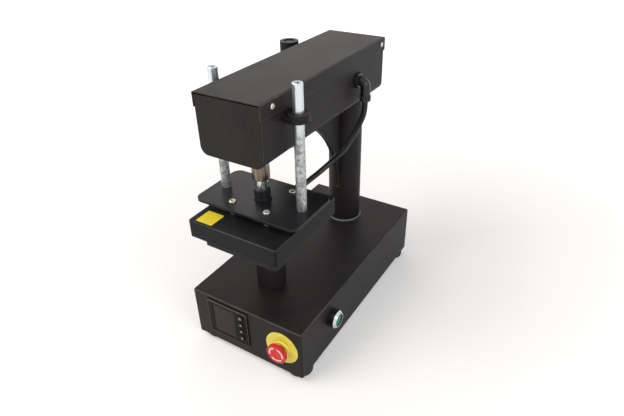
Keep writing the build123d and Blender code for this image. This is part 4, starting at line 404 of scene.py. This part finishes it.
# Red mushroom head with three white arcs round its middle, each ending in an arrow head
stopLook = {"centre": (0.066, 0.0595), "arcRadius": 0.0112, "arcHalf": 0.0011, "headHalf": 0.0022,
            "arcs": 3, "arcShare": 0.82, "headShare": 0.2, "phase": 10.15, "IOR": 1.36, "rough": 0.3,
            "red": "#DC2A2C", "white": "#F2EDEA"}
stopRed = bpy.data.materials.new("stopRed")
stopRed.use_nodes = True
stopTree = stopRed.node_tree
stopShader = stopTree.nodes["Principled BSDF"]
stopShader.inputs["IOR"].default_value = stopLook["IOR"]
stopShader.inputs["Roughness"].default_value = stopLook["rough"]
stopPlace = addNode(stopTree, "ShaderNodeTexCoord", {}, {})
stopShift = addNode(stopTree, "ShaderNodeMapping",
                    {"Location": (-stopLook["centre"][0], 0, -stopLook["centre"][1])},
                    {"Vector": stopPlace.outputs["Object"]})
stopParts = addNode(stopTree, "ShaderNodeSeparateXYZ", {}, {0: stopShift.outputs["Vector"]})
stopFlat = addNode(stopTree, "ShaderNodeCombineXYZ", {},
                   {"X": stopParts.outputs["X"], "Y": stopParts.outputs["Z"]})
stopRadius = addNode(stopTree, "ShaderNodeVectorMath", {"operation": "LENGTH"}, {0: stopFlat.outputs[0]})
stopAngle = addNode(stopTree, "ShaderNodeMath", {"operation": "ARCTAN2"},
                    {0: stopParts.outputs["Z"], 1: stopParts.outputs["X"]})
# the phase turns the arcs by 0.15 of one, and its whole turns keep the value above nothing
stopTurn = addNode(stopTree, "ShaderNodeMath",
                   {"operation": "MULTIPLY_ADD", 1: stopLook["arcs"] / (2 * math.pi), 2: stopLook["phase"]},
                   {0: stopAngle.outputs[0]})
stopShare = addNode(stopTree, "ShaderNodeMath", {"operation": "FRACT"}, {0: stopTurn.outputs[0]})
stopOff = addNode(stopTree, "ShaderNodeMath", {"operation": "SUBTRACT", 1: stopLook["arcRadius"]},
                  {0: stopRadius.outputs["Value"]})
stopAway = addNode(stopTree, "ShaderNodeMath", {"operation": "ABSOLUTE"}, {0: stopOff.outputs[0]})
# width of the mark along its turn: nothing, then the arrow head that widens, then the plain arc
stopTip = addNode(stopTree, "ShaderNodeMapRange",
                  {"From Min": 0.0, "From Max": stopLook["headShare"],
                   "To Min": 0.0, "To Max": stopLook["headHalf"]},
                  {"Value": stopShare.outputs[0]})
stopIsTip = addNode(stopTree, "ShaderNodeMath", {"operation": "LESS_THAN", 1: stopLook["headShare"]},
                    {0: stopShare.outputs[0]})
stopIsArc = addNode(stopTree, "ShaderNodeMath", {"operation": "LESS_THAN", 1: stopLook["arcShare"]},
                    {0: stopShare.outputs[0]})
stopArcWidth = addNode(stopTree, "ShaderNodeMath", {"operation": "MULTIPLY", 1: stopLook["arcHalf"]},
                       {0: stopIsArc.outputs[0]})
stopWidth = addNode(stopTree, "ShaderNodeMix", {"data_type": "FLOAT"},
                    {0: stopIsTip.outputs[0], 2: stopArcWidth.outputs[0], 3: stopTip.outputs["Result"]})
stopMark = addNode(stopTree, "ShaderNodeMath", {"operation": "LESS_THAN"},
                   {0: stopAway.outputs[0], 1: stopWidth.outputs[0]})
stopTint = addNode(stopTree, "ShaderNodeMix",
                   {"data_type": "RGBA",
                    6: linearColour(stopLook["red"]), 7: linearColour(stopLook["white"])},
                   {0: stopMark.outputs[0]})
stopTree.links.new(stopTint.outputs[2], stopShader.inputs["Base Color"])
made["stopRed"] = stopRed

# Controller case: moulded black ABS, with a painted highlight on the lip round its front, pale grey, patchy
# and narrower on the right
panelLook = {"lip": 0.0026, "lipCore": 0.8, "faceDepth": 0.0012, "rightReach": 0.0015,
             "plain": "#0C0B0A", "edgeHighlight": "#575149", "grain": 1.8, "highlightPatches": (0.3, 0.65), "leastHighlight": 0.6,
             "rough": (0.36, 0.5), "bump": 0.08, "IOR": 1.18}
caseLow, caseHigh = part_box("controller_case")
caseHigh.x += panelLook["rightReach"]
casePaint = bpy.data.materials.new("controllerFront")
casePaint.use_nodes = True
caseTree = casePaint.node_tree
caseShader = caseTree.nodes["Principled BSDF"]
caseShader.inputs["IOR"].default_value = panelLook["IOR"]
casePlace = addNode(caseTree, "ShaderNodeTexCoord", {}, {})
caseShift = addNode(caseTree, "ShaderNodeVectorMath", {"operation": "SUBTRACT", 1: (caseLow + caseHigh) / 2},
                    {0: casePlace.outputs["Object"]})
caseFold = addNode(caseTree, "ShaderNodeVectorMath", {"operation": "ABSOLUTE"}, {0: caseShift.outputs[0]})
caseGap = addNode(caseTree, "ShaderNodeVectorMath", {"operation": "SUBTRACT", 0: (caseHigh - caseLow) / 2},
                  {1: caseFold.outputs[0]})
caseGaps = addNode(caseTree, "ShaderNodeSeparateXYZ", {}, {0: caseGap.outputs[0]})
caseEdge = addNode(caseTree, "ShaderNodeMath", {"operation": "MINIMUM"},
                   {0: caseGaps.outputs["X"], 1: caseGaps.outputs["Z"]})
caseLip = addNode(caseTree, "ShaderNodeMapRange",
                  {"From Min": panelLook["lip"], "From Max": panelLook["lip"] * panelLook["lipCore"]},
                  {"Value": caseEdge.outputs[0]})
caseFront = addNode(caseTree, "ShaderNodeMath", {"operation": "LESS_THAN", 1: panelLook["faceDepth"]},
                    {0: caseGaps.outputs["Y"]})
caseMottle = addNode(caseTree, "ShaderNodeTexNoise",
                   {"Scale": perMillimetre(panelLook["grain"]), "Detail": 3.0},
                   {"Vector": casePlace.outputs["Object"]})
caseLitPatches = addNode(caseTree, "ShaderNodeMapRange",
                   {"From Min": panelLook["highlightPatches"][0], "From Max": panelLook["highlightPatches"][1],
                    "To Min": panelLook["leastHighlight"]},
                   {"Value": caseMottle.outputs["Fac"]})
caseBand = addNode(caseTree, "ShaderNodeMath", {"operation": "MULTIPLY"},
                   {0: caseLip.outputs["Result"], 1: caseFront.outputs[0]})
caseShare = addNode(caseTree, "ShaderNodeMath", {"operation": "MULTIPLY"},
                    {0: caseBand.outputs[0], 1: caseLitPatches.outputs["Result"]})
# the lip band is painted pale grey as a highlight
caseTint = addNode(caseTree, "ShaderNodeMix",
                   {"data_type": "RGBA",
                    6: linearColour(panelLook["plain"]), 7: linearColour(panelLook["edgeHighlight"])},
                   {0: caseShare.outputs[0]})
caseRough = addNode(caseTree, "ShaderNodeMapRange",
                    {"To Min": panelLook["rough"][0], "To Max": panelLook["rough"][1]},
                    {"Value": caseMottle.outputs["Fac"]})
caseBump = addNode(caseTree, "ShaderNodeBump",
                   {"Strength": panelLook["bump"], "Distance": panelLook["grain"] / 1000},
                   {"Height": caseMottle.outputs["Fac"]})
caseTree.links.new(caseTint.outputs[2], caseShader.inputs["Base Color"])
caseTree.links.new(caseRough.outputs["Result"], caseShader.inputs["Roughness"])
caseTree.links.new(caseBump.outputs["Normal"], caseShader.inputs["Normal"])
made["controllerFront"] = casePaint
print("finishes made:", len(made))

finishOf = {
    "powderCoat": ["column_tube", "column_flanges", "column_gusset", "pedestal_post", "head_channel",
                   "head_front_panel", "head_rear_panel", "guide_brackets", "guide_bushes", "lower_platen"],
    "foldedCoat": ["base_shell", "head_lid"],
    "stoveEnamel": ["mounting_plate"],
    "stovePaint": ["platen_cover"],
    "rodZinc": ["guide_rods"],
    "nickelPlate": ["cover_screws", "platen_fasteners"],
    "brightZinc": ["platen_spacers"],
    "zincSheet": ["base_plate", "cylinder_bolts", "platen_screws", "heating_element"],
    "chromePaintedReflection": ["piston_rod"],
    "blackOxide": ["rod_coupling"],
    "aluminium": ["cylinder_body", "cylinder_cover", "piston", "heating_plate"],
    "footRubber": ["base_feet"],
    "fibreBoard": ["insulation"],
    "glossNylon": ["cable_elbow", "elbow_nut", "start_bezels"],
    "mouldedBlack": ["platen_gland", "estop_collar", "contact_blocks", "power_inlet", "estop_stem",
                     "regulator_knob", "solenoid_valve", "gauge_case"],
    "controllerFront": ["controller_case"],
    "smokedAcrylic": ["controller_window"],
    "keyRubber": ["key_1", "key_2", "key_3", "key_4"],
    "yellowNylon": ["estop_ring"],
    "stopRed": ["estop_mushroom"],
    "glossBlack": ["rocker_switch"],
    "greenLens": ["start_cap_right", "start_cap_left"],
    "paleNylon": ["power_relay"],
    "fittingBrass": ["air_fittings"],
    "blueTube": ["air_tubes"],
    "castGrey": ["regulator_body"],
    "cloudyBowl": ["filter_bowl"],
    "needleRed": ["gauge_needle"],
}
for finishName, nodeNames in finishOf.items():
    for nodeName in nodeNames:
        nodes[nodeName].data.materials.clear()
        nodes[nodeName].data.materials.append(made[finishName])


def refinish(nodeName, finishName, isThere):
    # a second finish on the faces of a CAD node whose middle passes the test
    mesh = nodes[nodeName].data
    mesh.materials.append(made[finishName])
    for face in mesh.polygons:
        if isThere(face.center, face.normal):
            face.material_index = len(mesh.materials) - 1


# where the second finishes start and end, in metres
secondLook = {"rimFrom": 0.1106, "weldLow": 0.1002, "weldHigh": 0.1045, "weldRadius": 0.033,
              "levelFace": 0.999, "stemPast": 0.0005, "neckTop": 0.2921,
              "pinMiddle": (-0.05, 0.0475), "pinReach": (0.0085, 0.0035), "pinFrom": 0.180, "pinTo": 0.195}
columnMiddle = sum(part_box("column_tube"), Vector()) / 2
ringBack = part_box("estop_ring")[1].y
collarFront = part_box("estop_collar")[0].y
pinMiddle, pinReach = secondLook["pinMiddle"], secondLook["pinReach"]
# start buttons: the barrel is black and the bevelled rim in front of it bright
refinish("start_bezels", "brightRim", lambda c, n: abs(c.x) > secondLook["rimFrom"])
# weld ring at the foot of the column, painted light grey as the highlight on its ripples
refinish("column_flanges", "weldBeadHighlight", lambda c, n: secondLook["weldLow"] < c.z < secondLook["weldHigh"]
         and n.z < secondLook["levelFace"]
         and math.hypot(c.x, c.y - columnMiddle.y) < secondLook["weldRadius"])
# the stop button's flange matches its disc, and its stem the head
refinish("estop_collar", "yellowNylon", lambda c, n: c.y < ringBack)
refinish("estop_stem", "stopRed", lambda c, n: c.y < collarFront + secondLook["stemPast"])
# bare neck of the piston rod, screwed into the coupling
refinish("piston_rod", "brightRim", lambda c, n: c.z < secondLook["neckTop"])
# pins in the power socket
refinish("power_inlet", "nickelPlate", lambda c, n: abs(c.x - pinMiddle[0]) < pinReach[0]
         and abs(c.z - pinMiddle[1]) < pinReach[1] and secondLook["pinFrom"] < c.y < secondLook["pinTo"])
print("finishes put on the frame")


# Heater cable: one smooth line from the elbow down to the gland of the moving platen
heaterCable = {
    "diameter": 0.009,
    "route": [
        (0.0635, 0.066782, 0.352), (0.0635, 0.066782, 0.3345), (0.056, 0.066282, 0.314),
        (0.0465, 0.063782, 0.292), (0.035, 0.052782, 0.268), (0.0225, 0.037282, 0.253),
        (0.0125, 0.015782, 0.241), (0.0065, -0.007718, 0.2355), (0.0065, -0.031218, 0.2355),
    ],
    "length": 0.191,
    "sides": 24,
}
routeData = bpy.data.curves.new("cableLine", "CURVE")
routeData.dimensions = "3D"
routeData.resolution_u = 12
routeLine = routeData.splines.new("NURBS")
routeLine.points.add(len(heaterCable["route"]) - 1)
for i, point in enumerate(heaterCable["route"]):
    routeLine.points[i].co = (*point, 1)
routeLine.order_u = 3
routeLine.use_endpoint_u = True
cableLine = bpy.data.objects.new("cableLine", routeData)
scene.collection.objects.link(cableLine)
bpy.context.view_layer.update()
lineMesh = bpy.data.meshes.new_from_object(cableLine.evaluated_get(bpy.context.evaluated_depsgraph_get()))
routeData.bevel_depth = heaterCable["diameter"] / 2
routeData.bevel_resolution = heaterCable["sides"] // 4 - 1
routeData.use_fill_caps = True
bpy.context.view_layer.update()
tubeMesh = bpy.data.meshes.new_from_object(cableLine.evaluated_get(bpy.context.evaluated_depsgraph_get()))
heaterCableTube = bpy.data.objects.new("heaterCableTube", tubeMesh)
scene.collection.objects.link(heaterCableTube)
for face in tubeMesh.polygons:
    face.use_smooth = len(face.vertices) == 4
tubeMesh.materials.append(made["cableSheath"])
bpy.data.objects.remove(cableLine)
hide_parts("heater_cable")
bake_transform(heaterCableTube)
print("cable made")


# Tools for pieces made by hand
def selectParts(piece, kind, test):
    # in edit mode, selects the vertices or edges that pass the test
    mesh = bmesh.from_edit_mesh(piece.data)
    for part in list(mesh.verts) + list(mesh.edges) + list(mesh.faces):
        part.select = False
    for part in getattr(mesh, kind):
        if test(part):
            part.select_set(True)
    mesh.select_flush(True)
    bmesh.update_edit_mesh(piece.data)


def settle(piece, name, finishName, body):
    # ends a piece: place into the mesh, name, finish and the body that it rides on
    deselectAll()
    piece.select_set(True)
    bpy.context.view_layer.objects.active = piece
    bpy.ops.object.transform_apply(location=True, rotation=True, scale=True)
    piece.name = name
    piece.data.name = name
    piece.data.materials.clear()
    piece.data.materials.append(made[finishName])
    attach(piece, body)
    deselectAll()
    return piece


# Lower pad: a slab of silicone sponge whose sides swell a little under the closed press
lowerPad = {"corner": 0.006, "cornerSteps": 6, "rim": 0.0016, "rimSteps": 4, "swell": 0.0006, "inset": 0.0008,
            "sink": 0.0001, "cuts": 3, "middleShare": 0.3, "rimNear": 0.0003, "smoothUnder": 35}
padLow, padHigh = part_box("lower_pad")
padSize = padHigh - padLow


def rise(edge):
    return abs(edge.verts[0].co.z - edge.verts[1].co.z)


def isUpright(edge):
    return rise(edge) > padSize.z / 2


def isRim(edge):
    height = (edge.verts[0].co.z + edge.verts[1].co.z) / 2
    return rise(edge) < lowerPad["sink"] and abs(abs(height) - padSize.z / 2) < lowerPad["rimNear"]


deselectAll()
bpy.ops.mesh.primitive_cube_add(size=1, location=(padLow + padHigh) / 2,
                                scale=(padSize.x - 2 * lowerPad["inset"], padSize.y - 2 * lowerPad["inset"],
                                       padSize.z - lowerPad["sink"]))
pad = bpy.context.object
bpy.ops.object.transform_apply(location=False, rotation=False, scale=True)
bpy.ops.object.mode_set(mode="EDIT")
bpy.ops.mesh.select_mode(type="EDGE")
selectParts(pad, "edges", isUpright)
bpy.ops.mesh.bevel(offset=lowerPad["corner"], segments=lowerPad["cornerSteps"], affect="EDGES")
bpy.ops.mesh.select_mode(type="VERT")
selectParts(pad, "edges", isUpright)
bpy.ops.mesh.subdivide(number_cuts=lowerPad["cuts"])
selectParts(pad, "verts", lambda v: abs(v.co.z) < padSize.z * lowerPad["middleShare"])
swellShare = 1 + 2 * lowerPad["swell"] / padSize.x
bpy.ops.transform.resize(value=(swellShare, swellShare, 1), center_override=tuple(pad.location))
bpy.ops.mesh.select_mode(type="EDGE")
selectParts(pad, "edges", isRim)
bpy.ops.mesh.bevel(offset=lowerPad["rim"], segments=lowerPad["rimSteps"], affect="EDGES")
bpy.ops.object.mode_set(mode="OBJECT")
bpy.ops.object.shade_smooth_by_angle(angle=math.radians(lowerPad["smoothUnder"]))
settle(pad, "lowerPadSponge", "siliconeSponge", "press_frame")
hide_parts("lower_pad")
print("lower pad made")

# Plain yellow label on the platen cover, on a thin bed of glue
yellowLabel = {"centre": (-0.0485, -0.1762), "side": 0.028, "thick": 0.00015, "corner": 0.0012,
               "glue": 0.0001}
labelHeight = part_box("platen_cover")[1].z + yellowLabel["glue"]
bpy.ops.mesh.primitive_plane_add(size=yellowLabel["side"], location=(*yellowLabel["centre"], labelHeight))
label = bpy.context.object
bpy.ops.object.mode_set(mode="EDIT")
bpy.ops.mesh.select_all(action="SELECT")
bpy.ops.mesh.bevel(offset=yellowLabel["corner"], segments=3, affect="VERTICES")
bpy.ops.mesh.select_all(action="SELECT")
bpy.ops.mesh.extrude_region_move(TRANSFORM_OT_translate={"value": (0, 0, yellowLabel["thick"])})
bpy.ops.mesh.select_all(action="SELECT")
bpy.ops.mesh.normals_make_consistent(inside=False)
bpy.ops.object.mode_set(mode="OBJECT")
settle(label, "yellowLabel", "labelYellow", "carriage")
print("label made")

# Printed marks on the four keys: a ring, a pointer to the left, one down and one up
keyMarks = {
    "reach": 0.0021, "thick": 0.00008, "ringWall": 0.35,
    # node, body that it rides on, sides of the mark, turn in degrees
    "marks": [("key_1", "set_key", 24, 0), ("key_2", "shift_key", 3, 90), ("key_3", "down_key", 3, 180),
              ("key_4", "up_key", 3, 0)],
}
for nodeName, bodyName, sides, markTurn in keyMarks["marks"]:
    keyLow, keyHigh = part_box(nodeName)
    markPlace = ((keyLow.x + keyHigh.x) / 2, keyLow.y - keyMarks["thick"] / 2, (keyLow.z + keyHigh.z) / 2)
    deselectAll()
    bpy.ops.mesh.primitive_circle_add(vertices=sides, radius=keyMarks["reach"], fill_type="NGON",
                                      location=markPlace,
                                      rotation=(math.pi / 2, math.radians(markTurn), 0))
    mark = bpy.context.object
    bpy.ops.object.transform_apply(location=False, rotation=True, scale=False)
    bpy.ops.object.mode_set(mode="EDIT")
    bpy.ops.mesh.select_all(action="SELECT")
    if sides > 3:
        bpy.ops.mesh.inset(thickness=keyMarks["reach"] * keyMarks["ringWall"])
        bpy.ops.mesh.delete(type="FACE")
        bpy.ops.mesh.select_all(action="SELECT")
    bpy.ops.mesh.extrude_region_move(TRANSFORM_OT_translate={"value": (0, keyMarks["thick"], 0)})
    bpy.ops.mesh.select_all(action="SELECT")
    bpy.ops.mesh.normals_make_consistent(inside=False)
    bpy.ops.object.mode_set(mode="OBJECT")
    settle(mark, nodeName.replace("_", "") + "Mark", "whitePrint", bodyName)
print("key marks made")

# Gauge dial: a card with a scale and plain numbers, under a clear lens
gaugeDial = {"radius": 0.0174, "sides": 64, "hole": 0.0012, "depth": 0.006, "card": 0.0002, "ink": 0.00006,
             "start": 225, "sweep": 270, "steps": 50, "longEvery": 10, "barsPerLong": 2,
             "tickOut": 0.0158, "tickIn": 0.0146, "longIn": 0.0134, "tickWide": 0.00022, "longWide": 0.0004,
             "numberRing": 0.0105, "numberSize": 0.0036,
             "lensRadius": 0.0178, "lensDepth": 0.0012, "lensThick": 0.0012, "smoothUnder": 30,
             # two steps in towards the middle of the lens, each with how far it rises
             "lensSteps": [(0.004, 0.00036), (0.006, 0.00024)]}
gaugeLow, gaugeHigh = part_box("gauge_case")
gaugeMiddle = (gaugeLow + gaugeHigh) / 2
dialMiddle = Vector((gaugeMiddle.x, gaugeLow.y + gaugeDial["depth"], gaugeMiddle.z))
facingFront = (math.pi / 2, 0, 0)


def onDial(angle, reach, lift):
    # a place on the dial, by its angle from the right and its distance from the middle
    turned = math.radians(angle)
    return dialMiddle + Vector((reach * math.cos(turned), -lift, reach * math.sin(turned)))


deselectAll()
bpy.ops.mesh.primitive_circle_add(vertices=gaugeDial["sides"], radius=gaugeDial["radius"],
                                  fill_type="NOTHING", location=dialMiddle, rotation=facingFront)
card = bpy.context.object
bpy.ops.object.transform_apply(location=False, rotation=True, scale=False)
bpy.ops.object.mode_set(mode="EDIT")
bpy.ops.mesh.select_all(action="SELECT")
bpy.ops.mesh.extrude_edges_move()
holeShare = gaugeDial["hole"] / gaugeDial["radius"]
bpy.ops.transform.resize(value=(holeShare, holeShare, holeShare), center_override=tuple(dialMiddle))
bpy.ops.mesh.select_all(action="SELECT")
bpy.ops.mesh.extrude_region_move(TRANSFORM_OT_translate={"value": (0, -gaugeDial["card"], 0)})
bpy.ops.mesh.select_all(action="SELECT")
bpy.ops.mesh.normals_make_consistent(inside=False)
bpy.ops.object.mode_set(mode="OBJECT")
settle(card, "gaugeCard", "dialCard", "press_frame")
inkLevel = gaugeDial["card"] + gaugeDial["ink"]
for kind, step, inner, wide in (("fine", 1, gaugeDial["tickIn"], gaugeDial["tickWide"]),
                                ("long", gaugeDial["longEvery"], gaugeDial["longIn"], gaugeDial["longWide"])):
    tickMiddle = onDial(gaugeDial["start"], (inner + gaugeDial["tickOut"]) / 2, inkLevel)
    tickTurn = -math.radians(gaugeDial["sweep"]) * step / gaugeDial["steps"]
    deselectAll()
    bpy.ops.mesh.primitive_plane_add(size=1, location=tickMiddle, rotation=facingFront)
    ticks = bpy.context.object
    ticks.scale = (gaugeDial["tickOut"] - inner, wide, 1)
    bpy.ops.object.transform_apply(location=True, rotation=True, scale=True)
    bpy.ops.object.mode_set(mode="EDIT")
    bpy.ops.mesh.select_all(action="SELECT")
    bpy.ops.transform.rotate(value=math.radians(gaugeDial["start"]), orient_axis="Y",
                             center_override=tuple(tickMiddle))
    for i in range(gaugeDial["steps"] // step):
        bpy.ops.mesh.duplicate()
        bpy.ops.transform.rotate(value=tickTurn, orient_axis="Y", center_override=tuple(dialMiddle))
    bpy.ops.object.mode_set(mode="OBJECT")
    settle(ticks, "gaugeTicks" + kind.capitalize(), "dialInk", "press_frame")
for i in range(gaugeDial["steps"] // gaugeDial["longEvery"] + 1):
    numberAngle = gaugeDial["start"] - gaugeDial["sweep"] * i * gaugeDial["longEvery"] / gaugeDial["steps"]
    bars = str(gaugeDial["barsPerLong"] * i)
    deselectAll()
    bpy.ops.object.text_add(location=onDial(numberAngle, gaugeDial["numberRing"], inkLevel),
                            rotation=facingFront)
    number = bpy.context.object
    number.data.body = bars
    number.data.size = gaugeDial["numberSize"]
    number.data.align_x, number.data.align_y = "CENTER", "CENTER"
    bpy.ops.object.convert(target="MESH")
    settle(bpy.context.object, "gaugeNumber" + bars, "dialInk", "press_frame")
deselectAll()
lensPlace = (gaugeMiddle.x, gaugeLow.y + gaugeDial["lensDepth"], gaugeMiddle.z)
bpy.ops.mesh.primitive_circle_add(vertices=gaugeDial["sides"], radius=gaugeDial["lensRadius"],
                                  fill_type="NGON", location=lensPlace, rotation=facingFront)
lens = bpy.context.object
bpy.ops.object.transform_apply(location=False, rotation=True, scale=False)
bpy.ops.object.mode_set(mode="EDIT")
bpy.ops.mesh.select_all(action="SELECT")
for stepIn, stepRise in gaugeDial["lensSteps"]:
    bpy.ops.mesh.inset(thickness=stepIn, depth=stepRise)
bpy.ops.mesh.select_all(action="SELECT")
bpy.ops.mesh.extrude_region_move(TRANSFORM_OT_translate={"value": (0, gaugeDial["lensThick"], 0)})
bpy.ops.mesh.select_all(action="SELECT")
bpy.ops.mesh.normals_make_consistent(inside=False)
bpy.ops.object.mode_set(mode="OBJECT")
bpy.ops.object.shade_smooth_by_angle(angle=math.radians(gaugeDial["smoothUnder"]))
settle(lens, "gaugeLens", "clearLens", "press_frame")
print("gauge dial made")

deselectAll()
